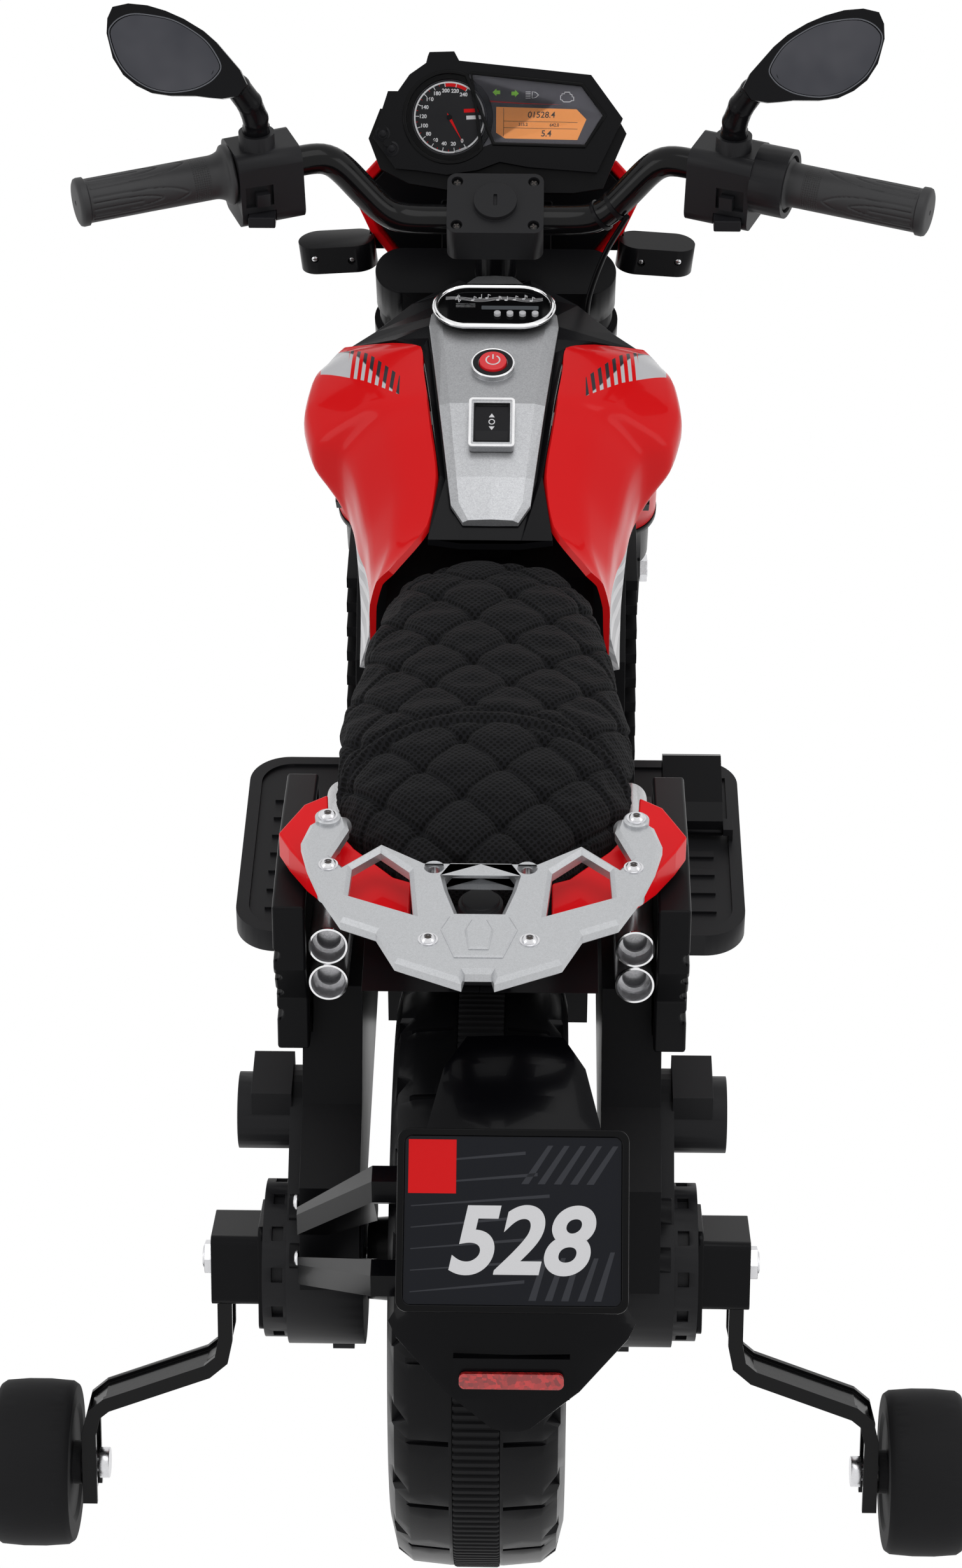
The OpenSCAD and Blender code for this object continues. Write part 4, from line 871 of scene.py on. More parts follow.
def socket_bolt(r=4.2, tall=2.6):
    """A button-head bolt with a six-sided socket, as a head and a dark floor laid in the socket as painted shade."""
    dome = [(0.01, 0), (r * 1.25, 0), (r * 1.25, 0.7), (r, 0.7), (r * 0.97, tall * 0.6), (r * 0.72, tall),
            (r * 0.5, tall), (r * 0.5, tall - 0.9), (0.01, tall - 0.9)]
    floor = slab([[(r * 0.5 * math.cos(math.radians(60 * i)), r * 0.5 * math.sin(math.radians(60 * i)))
                   for i in range(6)]], tall - 0.95, tall - 0.8)
    return lathe(dome, 30), floor


print("part helpers ready")

# %% [markdown]
# ## The quilted seat
# The seat is a foam pad in a cover of spacer fabric, sewn through in diamonds, with a knot where the
# lines cross. A ribbed seam arches across it where the rider's part ends and the raised rear part
# begins. The cushion in the frame gives the outline and the height, so those are measured first.


# %% Measure the cushion that the frame holds
def between(x, table):
    """Straight-line reading of a table of (x, value)."""
    for (a, va), (b, vb) in zip(table, table[1:]):
        if x <= b:
            return va + (vb - va) * max(0.0, x - a) / (b - a)
    return table[-1][1]


seat_rows = {}
for vertex in node["seat_cushion"].data.vertices:
    ahead = round((vertex.co.y - AXLE.y) / MM, 1)
    half, top = seat_rows.get(ahead, (0, 0))
    seat_rows[ahead] = (max(half, abs(vertex.co.x) / MM), max(top, vertex.co.z / MM))
seat_rows = {d: row for d, row in sorted(seat_rows.items()) if row[0] > 20}
SEAT_BACK, SEAT_FRONT = min(seat_rows), max(seat_rows)
SEAT_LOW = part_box("seat_cushion")[0].z / MM
seat_width = [(d, row[0]) for d, row in seat_rows.items()]
seat_top = [(d, max(r[1] for e, r in seat_rows.items() if abs(e - d) < 26)) for d in seat_rows]
print("seat from", SEAT_BACK, "to", SEAT_FRONT, "low", round(SEAT_LOW, 1), "widest", max(w for _, w in seat_width))

# %% [markdown]
# Quilting is two families of slanting lines. A point is on a line where its place along the family is
# a whole number, so the depth of the puff is a product of two waves that are zero there. The rider's
# part and the rear part have their own lattices, because they were sewn as two panels.

# %% Lines of the quilt
FRONT_KNOT = (-8.0, 282.5)
REAR_KNOT = (-11.5, 107.0)
CELL_WIDE = 42.8
FRONT_CELL_LONG = 46.5
REAR_CELL_LONG = 44.0
SEAM_AHEAD = 127.0
SEAM_ARCH = 0.0048


def seam_gap(u, v):
    """Distance of a point of the cloth ahead of the arched seam."""
    return v - (SEAM_AHEAD - SEAM_ARCH * min(abs(u), 95) ** 2)


def lattice(u, v):
    """The two line numbers of a point of the cloth."""
    knot, long = (FRONT_KNOT, FRONT_CELL_LONG) if seam_gap(u, v) > 0 else (REAR_KNOT, REAR_CELL_LONG)
    a = (u - knot[0]) / CELL_WIDE
    b = (v - knot[1]) / long
    return a + b, a - b


def near_line(k):
    return abs(k - round(k))


def puff(u, v):
    """0 on the sewn lines and 1 in the middle of a diamond."""
    a, b = lattice(u, v)
    cell = (abs(math.sin(math.pi * a)) * abs(math.sin(math.pi * b))) ** 0.36
    return cell * min(1.0, max(0.0, (abs(seam_gap(u, v)) - 3.0) / 9.0)) ** 0.6


print("diamonds", CELL_WIDE, "mm wide,", FRONT_CELL_LONG, "and", REAR_CELL_LONG, "mm long")

# %% [markdown]
# The pad starts as a grid bent over the crown. Rows and columns crowd towards the edges, where the
# cloth turns down, which a sine does for free. A map in millimetres records where each point lies on
# the flat cloth, and the quilt and the weave are drawn on that map.

# %% Seat: the plain pad
ROWS = 104
COLS = 76
PUFF_HEIGHT = 2.2
SINK = 2.4


def pad_point(i, j):
    t = math.radians(-90 + 180 * i / ROWS)
    s = math.radians(-90 + 180 * j / COLS)
    d = (SEAT_BACK + SEAT_FRONT) / 2 + (SEAT_FRONT - SEAT_BACK) / 2 * math.sin(t)
    high = between(d, seat_top) - SEAT_LOW - SINK
    tuck = 1 - 0.05 * (1 - max(0.0, math.cos(s)) ** 0.5)
    fall = max(0.0, math.cos(s)) ** 0.62 * max(0.0, math.cos(t)) ** 0.42
    slope = 0.86 if d > SEAT_FRONT - 40 else 1.0
    return Vector(at((between(d, seat_width) - 2.0) * math.sin(s) * tuck, d, SEAT_LOW + 0.6 + high * fall * slope))


def make_pad():
    verts = [pad_point(i, j) for i in range(ROWS + 1) for j in range(COLS + 1)]
    wide = COLS + 1
    faces = [[i * wide + j, i * wide + j + 1, (i + 1) * wide + j + 1, (i + 1) * wide + j]
             for i in range(ROWS) for j in range(COLS)]
    rim = [j for j in range(wide)] + [i * wide + COLS for i in range(1, ROWS + 1)]
    rim += [ROWS * wide + j for j in range(COLS - 1, -1, -1)] + [i * wide for i in range(ROWS - 1, 0, -1)]
    along = [0.0]
    for i in range(1, ROWS + 1):
        along.append(along[-1] + (verts[i * wide + COLS // 2] - verts[(i - 1) * wide + COLS // 2]).length / MM)
    middle = along[ROWS // 2] - (SEAT_FRONT + SEAT_BACK) / 2
    flat = []
    for i in range(ROWS + 1):
        across = [0.0]
        for j in range(1, wide):
            across.append(across[-1] + (verts[i * wide + j] - verts[i * wide + j - 1]).length / MM)
        flat += [(a - across[COLS // 2], along[i] - middle) for a in across]
    return verts, faces, flat, set(rim)


pad_verts, pad_faces, pad_flat, pad_rim = make_pad()
print("pad points", len(pad_verts))

# %% [markdown]
# The pad is puffed up between its sewn lines, and then Blender's cloth solver blows air into it. Points
# on the lines and along the hem are pinned, so the cloth swells into the diamonds and pulls small
# creases towards the knots, which a formula alone doesn't give. The result is kept as plain points.

# %% Seat: sew it and blow it up
SWELL_CAP = 1.7


def sewn_pad():
    mesh = bpy.data.meshes.new("seat_cover")
    mesh.from_pydata(pad_verts, [], pad_faces)
    bm = bmesh.new()
    bm.from_mesh(mesh)
    bm.normal_update()
    layer = bm.loops.layers.uv.new("cloth_mm")
    bm.verts.ensure_lookup_table()
    for face in bm.faces:
        for loop in face.loops:
            loop[layer].uv = pad_flat[loop.vert.index]
    for v, (u, w) in zip(bm.verts, pad_flat):
        if v.index not in pad_rim:
            edge = min(1.0, (v.co.z / MM - SEAT_LOW) / 9.0)
            v.co += v.normal * (PUFF_HEIGHT * puff(u, w) * edge * MM)
    bm.to_mesh(mesh)
    bm.free()
    return mesh


def swell(mesh):
    """One short cloth simulation with air pressure, capped, then stored in the mesh."""
    made = bpy.data.objects.new("seat_swelling", mesh)
    bpy.context.scene.collection.objects.link(made)
    pins = made.vertex_groups.new(name="pins")
    for k, (u, w) in enumerate(pad_flat):
        a, b = lattice(u, w)
        sewn = min(near_line(a), near_line(b)) < 0.06 or abs(seam_gap(u, w)) < 6 or k in pad_rim
        pins.add([k], 1.0 if sewn else 0.0, "REPLACE")
    cloth = made.modifiers.new("air", "CLOTH")
    cloth.settings.quality = 5
    cloth.settings.mass = 0.2
    cloth.settings.tension_stiffness = 12
    cloth.settings.compression_stiffness = 12
    cloth.settings.bending_stiffness = 0.3
    cloth.settings.use_pressure = True
    cloth.settings.uniform_pressure_force = 4
    cloth.settings.vertex_group_mass = "pins"
    cloth.settings.shrink_min = -0.04
    cloth.settings.effector_weights.gravity = 0
    cloth.collision_settings.use_collision = False
    before = [v.co.copy() for v in mesh.vertices]
    for step in range(1, 19):
        bpy.context.scene.frame_set(step)
    after = made.evaluated_get(bpy.context.evaluated_depsgraph_get()).data
    far = 0.0
    for v, old, new in zip(mesh.vertices, before, [v.co.copy() for v in after.vertices]):
        step = new - old
        far = max(far, step.length / MM)
        if step.length > SWELL_CAP * MM:
            step = step.normalized() * SWELL_CAP * MM
        v.co = old + step
    bpy.data.objects.remove(made)
    bpy.context.scene.frame_set(1)
    print("cloth moved up to", round(far, 1), "mm")


seat_mesh = sewn_pad()
swell(seat_mesh)
print("cover faces", len(seat_mesh.polygons))

# %% [markdown]
# Sewing is finer than the cloth grid. After one subdivision the thread is pulled in: a narrow groove
# along each line, a dimple at each knot, and the ribbed cord of the arched seam with its own small
# gathers. The subdivided points still carry the flat map, so the lines fall where they were sewn.

# %% Seat: subdivide and stitch
GROOVE = 1.8
DIMPLE = 3.2
CORD = 2.6


def stitched(mesh):
    holder = bpy.data.objects.new("seat_finer", mesh)
    bpy.context.scene.collection.objects.link(holder)
    finer = holder.modifiers.new("finer", "SUBSURF")
    finer.levels = 1
    dense = bpy.data.meshes.new_from_object(holder.evaluated_get(bpy.context.evaluated_depsgraph_get()))
    bpy.data.objects.remove(holder)
    corners = [0] * len(dense.loops)
    dense.loops.foreach_get("vertex_index", corners)
    flat_map = [0.0] * (2 * len(corners))
    dense.uv_layers["cloth_mm"].data.foreach_get("uv", flat_map)
    spot = {v: (flat_map[2 * k], flat_map[2 * k + 1]) for k, v in enumerate(corners)}
    co = [0.0] * (3 * len(dense.vertices))
    out = list(co)
    dense.vertices.foreach_get("co", co)
    dense.vertex_normals.foreach_get("vector", out)
    for k, (u, w) in spot.items():
        high = co[3 * k + 2] / MM - SEAT_LOW
        if high < 2.5:
            continue
        a, b = lattice(u, w)
        pitch = CELL_WIDE * 0.7
        gap = seam_gap(u, w)
        sewn = min(near_line(a), near_line(b)) * pitch
        knot = math.hypot(near_line(a) * pitch, near_line(b) * pitch)
        away = min(1.0, max(0.0, (abs(gap) - 5.0) / 3.0))
        depth = (GROOVE * math.exp(-((sewn / 1.1) ** 2)) + DIMPLE * math.exp(-((knot / 4.2) ** 2))) * away
        cord = CORD * math.exp(-((gap / 3.2) ** 4)) * (1 + 0.16 * math.sin(u * 1.9))
        trench = 2.0 * math.exp(-(((abs(gap) - 5.0) / 1.3) ** 2))
        step = (cord - trench - depth) * min(1.0, (high - 2.5) / 8.0) * MM
        for axis in range(3):
            co[3 * k + axis] += out[3 * k + axis] * step
    dense.vertices.foreach_set("co", co)
    bm = bmesh.new()
    bm.from_mesh(dense)
    bmesh.ops.contextual_create(bm, geom=[e for e in bm.edges if e.is_boundary])
    bm.to_mesh(dense)
    bm.free()
    return dense


seat_mesh = stitched(seat_mesh)
seat_mesh.name = "quilted_seat"
seat_mesh.materials.append(seat_fabric)
seat_mesh.shade_smooth()
quilted_seat = bpy.data.objects.new("quilted_seat", seat_mesh)
bpy.context.scene.collection.objects.link(quilted_seat)
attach(quilted_seat, "chassis")
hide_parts("seat_cushion")
print("seat faces", len(seat_mesh.polygons))

# %% [markdown]
# ## Handlebar, cable and grips
# The bar is one bent tube, so it is a sweep along a rounded line. It replaces the frame's bar, whose
# bends are made of flat facets. The throttle lead hangs from the right hand control to the fork.

# %% Handlebar and throttle lead
steering_place = turned(HEAD, ("X", math.degrees(RAKE)))
BAR_R = 9.0
BAR_HALF = [(238, 463.5, 568.1), (119, 508, 572), (106, 512.3, 572.6), (98, 514.2, 570.3), (91, 515.6, 564),
            (80, 517.3, 550), (70, 519.2, 537.5), (62, 520.4, 530.8), (52, 521, 528), (26, 521, 528)]
bar_line = [(-x, d, z) for x, d, z in BAR_HALF] + BAR_HALF[::-1]
bar_line = rounded([at(*p) / MM for p in bar_line], step=3.0, turns=2)
handlebar = piece("handlebar_tube", *sweep_tube(bar_line, BAR_R, 40), powder_coat, "steering", "black_steel")
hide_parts("handlebar")
LEAD = [(79, -7.5, 416.6), (75, -8.2, 406), (70, -9.5, 394), (66, -10.5, 382), (62.5, -13.5, 371), (59.5, -17, 361), (57, -21, 352),
        (56, -24, 338), (55, -24.5, 320), (53, -24, 300), (50, -23, 280), (46, -20, 258), (42, -16, 238),
        (39, -13, 222), (38, -12, 213.5)]
lead_line = rounded(LEAD, step=4.0, turns=2)
lead = piece("throttle_lead", *sweep_tube(lead_line, 1.75, 14), cable_rubber, "steering", "grip_rubber", steering_place)
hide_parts("throttle_cable")
print("bar", round(len(bar_line) * 3.0), "mm along, lead", round(len(lead_line) * 4.0), "mm")

# %% [markdown]
# The grips are soft rubber with a flange, a knurled ring and a leaf pattern with long grooves. The
# pattern is drawn on the unrolled grip, in millimetres round and along it, and pushed into the mesh.
# The frame used for each grip points along the bar, away from the middle of the motorbike.


# %% Frames of the two hands
def along(a, b):
    v = b - a
    spin = Matrix.Rotation(math.atan2(v.y, v.x), 4, "Z")
    return Matrix.Translation(a) @ spin @ Matrix.Rotation(math.acos(v.z / v.length), 4, "Y")


MIRRORED = Matrix.Scale(-1, 4, (1, 0, 0))
hand_right = along(at(119, 508, 572), at(242, 462, 568))
hand_left = MIRRORED @ hand_right
SWITCH_LONG = 39.0
GRIP_R = 13.0
print("hand frames at", [round(c, 3) for c in hand_right.translation])


# %% Grips
def knurled_rubber():
    made, tree, shader = new_material("knurled_grip_rubber")
    grip_map = tree.add("ShaderNodeUVMap", uv_map="grip_mm")
    split = tree.add("ShaderNodeSeparateXYZ", {"Vector": grip_map.outputs[0]})
    around = effect(tree, fine_ribs, Along=split.outputs["X"], Pitch=1.36, Width=0.5)
    lengthwise = effect(tree, fine_ribs, Along=split.outputs["Y"], Pitch=1.4, Width=0.5)
    ring = tree.math("MULTIPLY", tree.ramp(split.outputs["Y"], 14.8, 15.0), tree.ramp(split.outputs["Y"], 25.2, 25.0))
    knurl = tree.math("MULTIPLY", tree.math("MULTIPLY", around.outputs[0], lengthwise.outputs[0]), ring)
    surface = effect(tree, moulded_surface, Grain_size=0.8, Gloss=0.56, Gloss_drift=0.1)
    scuff = tree.math("MULTIPLY", surface.outputs["Scuffs"], 0.4)
    tree.feed(shader.inputs["Base Color"], tree.blend(scuff, (0.013, 0.013, 0.0145, 1), (0.03, 0.03, 0.032, 1)))
    tree.feed(shader.inputs["Roughness"], surface.outputs["Roughness"])
    fine = bump(tree, shader, surface.outputs["Height"], 0.03)
    bump(tree, shader, knurl, 0.5, fine)
    return made


knurled_grip = knurled_rubber()


def leaf_groove(u, t, length):
    """Depth of the leaf outlines and long grooves at a point of the unrolled grip."""
    quarter = 2 * math.pi * GRIP_R / 4
    side = abs((u + quarter / 2) % quarter - quarter / 2)
    if t > length - 8 or t < 28:
        return 0.0
    outer = 7.2 * (1 - math.exp(-(t - 28) / 10))
    inner = 4.0 * (1 - math.exp(-max(0.0, t - 44) / 9))
    depth = math.exp(-(((side - outer) / 0.55) ** 2))
    if t > 44:
        depth += math.exp(-(((side - inner) / 0.5) ** 2))
    if t > 56:
        depth += 0.8 * math.exp(-((side / 0.5) ** 2))
    return 0.55 * min(1.0, depth)


def grip_form(length, flange):
    """The grip's points with its grooves, its faces, and its unrolled map."""
    around, rows = 144, []
    rows += [(0.0, BAR_R + 0.3), (0.0, flange - 1.0), (0.6, flange - 0.2), (2.0, flange), (3.4, flange - 0.4), (4.2, flange - 1.6)]
    rows += [(4.2 + 8 * k / 8, GRIP_R + (flange - 2.4 - GRIP_R) * (1 - k / 8) ** 2.2) for k in range(1, 9)]
    rows += [(12.5 + (length - 20) * k / 130, GRIP_R) for k in range(1, 131)]
    rows += [(length - 6.5, GRIP_R), (length - 5.6, GRIP_R + 1.3), (length - 2.4, GRIP_R + 1.4), (length - 1.0, GRIP_R + 0.9)]
    rows += [(length - 0.2, GRIP_R - 0.6), (length, GRIP_R - 3.0), (length + 0.2, 1.6), (length - 0.6, 1.2), (length - 0.6, 0.05)]
    verts, flat = [], []
    for t, r in rows:
        for i in range(around):
            u = 2 * math.pi * GRIP_R * i / around
            deep = leaf_groove(u, t, length) if abs(r - GRIP_R) < 0.01 else 0.0
            a = 2 * math.pi * i / around
            verts.append(((r - deep) * math.cos(a), (r - deep) * math.sin(a), t))
            flat.append((u, t))
    faces = [[k * around + i, k * around + (i + 1) % around, (k + 1) * around + (i + 1) % around, (k + 1) * around + i]
             for k in range(len(rows) - 1) for i in range(around)]
    return verts, faces, flat


def make_grip(name, place, start, length, flange, body, stands_for):
    verts, faces, flat = grip_form(length, flange)
    here = place @ Matrix.Translation((0, 0, start * MM))
    made = piece(name, verts, faces, knurled_grip, body, "grip_rubber", here, smooth=50)
    layer = made.data.uv_layers.new(name="grip_mm")
    for loop in made.data.loops:
        layer.data[loop.index].uv = flat[loop.vertex_index]
    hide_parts(stands_for)
    return made


make_grip("left_grip_rubber", hand_left, SWITCH_LONG + 0.6, 94, 18, "steering", "grip_left")
make_grip("right_grip_rubber", hand_right, SWITCH_LONG + 14.8, 89.6, 16, "throttle_grip", "throttle_grip")
print("grips made")

# %% [markdown]
# ## The instruments
# Behind a clear window lie a round dial and an amber display. Everything on them is print, so each
# colour of print is one thin piece laid on the face, drawn in millimetres from the photograph.

# %% Dial
dash_place = turned(at(-3, 575, 575), ("X", 60))
DIAL = Vector((-25.7, -5.4))
DIAL_R = 21.4


def on_dial(r, angle):
    return (DIAL.x + r * math.cos(math.radians(angle)), DIAL.y + r * math.sin(math.radians(angle)))


def speed_angle(speed):
    return -61 - speed * 241 / 240


def ring(cx, cy, outer, inner, low, high, a0=0.0, a1=360.0, n=72):
    """A flat ring or part of one."""
    points = [(cx + (outer + inner) / 2 * math.cos(math.radians(a0 + (a1 - a0) * i / n)),
               cy + (outer + inner) / 2 * math.sin(math.radians(a0 + (a1 - a0) * i / n))) for i in range(n + 1)]
    whole = abs(a1 - a0) > 359
    return band(points[:-1] if whole else points, outer - inner, low, high, closed=whole)


def stuck(name, parts, material, place, body, slot, edge=0.0, smooth=30):
    """A piece from several parts in one place."""
    return piece(name, *combine(*parts), material, body, slot, place, smooth=smooth, edge=edge)


disc = slab([[on_dial(22.3, 5 * i) for i in range(72)]], -2.0, -1.86)
stuck("dial_disc", [disc, ring(*DIAL, 6.6, 6.3, -1.86, -1.78), ring(*DIAL, 4.4, 4.2, -1.86, -1.78)], dial_black, dash_place,
      "steering", "display")
white = [ring(*DIAL, DIAL_R + 0.1, DIAL_R - 0.85, -1.86, -1.76, speed_angle(-4), speed_angle(384))]
for speed in range(0, 241, 20):
    white.append(line(on_dial(DIAL_R - 0.4, speed_angle(speed)), on_dial(DIAL_R - 3.0, speed_angle(speed)), 0.42, -1.86, -1.74))
    x, y = on_dial(DIAL_R - 5.3, speed_angle(speed))
    white.append(shifted(numerals(str(speed), 3.1, 0.1, bold=0.09), x, y, -1.8))
white.append(line((-15.4, -5.5), (-6.6, -5.1), 2.3, -1.86, -1.78))
stuck("dial_figures", white, white_ink, dash_place, "steering", "display")
red = [line(on_dial(DIAL_R - 0.8, speed_angle(s)), on_dial(DIAL_R - 2.0, speed_angle(s)), 0.22, -1.86, -1.76)
       for s in range(10, 200, 20)]
red.append(ring(*DIAL, DIAL_R - 0.8, DIAL_R - 2.9, -1.86, -1.8, speed_angle(201), speed_angle(239), 24))
red.append(line((-16.9, -1.4), (-8.1, -1.0), 2.2, -1.86, -1.78))
red.append(slab([[on_dial(0.9, speed_angle(90)), on_dial(16.4, speed_angle(0)), on_dial(0.9, speed_angle(-90)),
                  on_dial(3.0, speed_angle(180))]], -1.6, -1.3))
red.append(ring(*DIAL, 26.4, 25.9, -1.95, -1.85, 52, -12, 30))
red.append(slab([[(-2.2, 4.9), (18, 3.6), (43, 2.6), (18, 3.0), (-2.0, 4.0)]], -1.95, -1.85))
stuck("dial_red_print", red, red_ink, dash_place, "steering", "display")
hub = lathe([(0.01, -1.8), (1.7, -1.8), (1.6, -1.0), (0.9, -0.9), (0.01, -0.9)], 30)
stuck("needle_hub", [shifted(hub, *DIAL)], smooth_plastic, dash_place, "steering", "display")
stuck("dial_bezel", [ring(*DIAL, 26.6, 22.6, -2.0, -0.9)], gloss_plastic, dash_place, "steering", "display", edge=0.8)
print("dial figures", 13)

# %% [markdown]
# The display shows only plain figures, and the lamps beside it plain signs: two arrows, a headlamp and
# an engine. All of it is print, and the display and the green arrows carry a painted glow.
# The window is one thin sheet that follows the dial and the long side.

# %% Display, signs and window
LCD = [(2.7, 1.15), (51.4, 0.0), (57.4, -6.0), (52.0, -18.4), (8.2, -17.8), (2.7, -14.4)]
# the amber panel is print with a painted glow
stuck("amber_panel", [slab([LCD], -2.0, -1.86)], amber_painted_glow, dash_place, "steering", "display")
digits = [shifted(numerals("01528.4", 5.2, 0.1, 0.1, 0.05), 30, -3.6, -1.8),
          shifted(numerals("315.2", 2.6, 0.1, 0.0, 0.03), 19, -9.4, -1.8),
          shifted(numerals("642.0", 2.6, 0.1, 0.0, 0.03), 38, -9.6, -1.8),
          shifted(numerals("5.4", 5.2, 0.1, 0.1, 0.08), 33, -14.8, -1.8),
          line((7.2, 0.6), (7.2, -16.6), 0.3, -1.86, -1.78), line((7.4, -7.3), (52, -7.9), 0.25, -1.86, -1.78),
          line((7.4, -11.3), (52, -11.9), 0.25, -1.86, -1.78)]
stuck("display_figures", digits, dark_ink_and_slot_shade, dash_place, "steering", "display")


def arrow(x, y, way):
    out = [(-2.3, 0), (0, 2.2), (0, 1.1), (2.2, 1.1), (2.2, -1.1), (0, -1.1), (0, -2.2)]
    return slab([[(x + way * px, y + py) for px, py in out][::way]], -1.98, -1.84)


# the green arrows are print with a painted glow
stuck("turn_arrows", [arrow(2.7, 9.8, 1), arrow(14.0, 9.2, -1)], green_painted_glow, dash_place, "steering", "display")
lamp_sign = [line((20.4, 10.2 - 0.95 * k), (23.4, 10.2 - 0.95 * k), 0.35, -1.98, -1.84) for k in range(5)]
lamp_sign.append(band([(24.4, 6.4), (24.4, 10.4), (26.6, 9.9), (28.2, 8.4), (26.6, 6.9)], 0.4, -1.98, -1.84, closed=True))
engine = [(42.4, 9.2), (44, 9.2), (44, 10.2), (47.2, 10.2), (47.2, 9.2), (48.6, 8.6), (48.6, 7.4), (49.6, 7.4), (49.6, 5.2),
          (48.4, 5.2), (47.2, 4.4), (43.4, 4.4), (42.4, 5.6), (41.6, 5.6), (41.6, 8.2), (42.4, 8.2)]
lamp_sign.append(band(engine, 0.45, -1.98, -1.84, closed=True))
stuck("lamp_signs", lamp_sign, white_ink, dash_place, "steering", "display")
pane = [(-14, 20.3), (54.3, 13.8), (67.6, -3.5), (56.2, -21.5), (1.5, -20.3)]
pane = [on_dial(26.6, a) for a in range(-40, -297, -8)][::-1] + [(-12, 20.1)] + pane[1:]
stuck("instrument_glass", [slab([pane[::-1]], -0.8, -0.35)], glass, dash_place, "steering", "display")
studs = [shifted(lathe([(0.01, -0.2), (4.6, -0.2), (4.6, 0.5), (3.4, 0.9), (3.2, 0.5), (2.2, 0.5), (2.1, 2.1), (1.5, 2.5),
                        (0.01, 2.5)], 36), x, y) for x, y in ((-66.0, -15.6), (-60.6, -24.6))]
stuck("dash_studs", studs, button_plastic, dash_place, "steering", "black_plastic", smooth=50)
print("signs and window laid on the dash")

# %% [markdown]
# Four black cross screws hold the clamp of the handlebar in their pits. A turned cap sits between
# them. A rubber sleeve ties the throttle lead under the bar.

# %% Clamp screws and ties
pits = [(x, y) for x in (-23, 23) for y in (-16, 16)]
clamp_place = steering_place @ Matrix.Translation((0, 0, 416 * MM))
heads, cross_shades = zip(*[[shifted(p, x, y, turn=x + y) for p in cross_screw(3.0, 1.7)] for x, y in pits])
stuck("clamp_screws", heads, powder_coat, clamp_place, "steering", "black_steel")
# painted shade: the dark crosses stand for the shade in the screws' cross recesses
stuck("clamp_screw_slot_shade", cross_shades, dark_ink_and_slot_shade, clamp_place, "steering", "black_steel")
tie = along(at(62.5, 520.2, 531.2), at(70, 519.2, 537.5))
ties = lathe([(BAR_R + 0.05, 0), (BAR_R + 1.0, 0.2), (BAR_R + 1.1, 2.4), (BAR_R + 0.05, 2.6)], 48)
strap = lathe([(BAR_R + 0.05, 11.2), (BAR_R + 0.9, 11.3), (BAR_R + 0.9, 14.2), (BAR_R + 0.05, 14.3)], 48)
stuck("lead_ties", [ties, strap], cable_rubber, tie, "steering", "grip_rubber", smooth=50)
print("clamp screws", len(pits))

# %% [markdown]
# ## The console on the tank
# The silver panel carries the sound unit, the power button and the direction switch. Its height along
# the tank is a short table, so each fitting gets a frame that lies flat on the panel.

# %% Frames on the console
CONSOLE = [(300, 420), (325, 437), (375, 472), (422, 484.5), (472, 491.5), (513, 495)]


def on_console(d):
    slope = math.degrees(math.atan((between(d + 12, CONSOLE) - between(d - 12, CONSOLE)) / 24))
    return turned(at(0, d, between(d, CONSOLE)), ("X", slope))


sound_place, power_place, rocker_place = on_console(472), on_console(422), on_console(375)
stuck("sound_unit_ring", [band(stadium(70.4, 40.4)[:-1], 3.4, 3.2, 6.2, closed=True)], chrome, sound_place, "chassis",
      "silver_panel", edge=1.1, smooth=60)
stuck("sound_unit_face", [slab([stadium(66, 36)], 3.3, 3.55)], gloss_plastic, sound_place, "chassis", "gloss_black")
stuck("sound_lcd", [slab([round_rect(9.5, 0.2, 34, 3.6, 0.5)], 3.5, 3.75)], lcd_grey, sound_place, "chassis", "display")
stuck("socket_contact", [slab([round_rect(-17, 1.2, 11.6, 1.3, 0.3), round_rect(-17, 3.4, 11.6, 0.8, 0.2)], 3.5, 4.0)],
      zinc_plate, sound_place, "chassis", "silver_panel")


def stave(k):
    return [(-29 + 58 * i / 30, 7.6 + 0.9 * k + 1.2 * math.sin(0.21 * (58 * i / 30) + 0.5) * (1 - 0.1 * k)) for i in range(31)]


def note(x, y, tails):
    head = [(x + 1.0 * math.cos(a / 6 * math.pi), y + 0.7 * math.sin(a / 6 * math.pi) + 0.2) for a in range(12)]
    stem = line((x + 0.85, y), (x + 0.85, y + 4.2), 0.34, 3.5, 3.66)
    flag = [line((x + 0.85, y + 4.1 - 1.1 * t), (x + 2.3, y + 3.0 - 1.1 * t), 0.42, 3.5, 3.66) for t in range(tails)]
    return combine(slab([head], 3.5, 3.66), stem, *flag)


score = [band(stave(k), 0.16, 3.5, 3.64) for k in range(4)]
score += [note(x, y, t) for x, y, t in ((-13, 7.5, 1), (-8.5, 9.8, 0), (-4.6, 9.8, 1), (2, 8.0, 2), (7, 7.9, 0), (12, 8.4, 1),
                                        (17.5, 9.2, 2), (22, 7.2, 1))]
score.append(band([(-21, 6.4), (-20, 7.6), (-21.6, 8.8), (-23.2, 8.0), (-22.6, 10.2), (-20.6, 12), (-21.4, 13), (-22.2, 11.6),
                   (-21, 5.6)], 0.4, 3.5, 3.66))
stuck("sound_unit_notes", score, white_ink, sound_place, "chassis", "display")
print("sound unit pieces", 5)

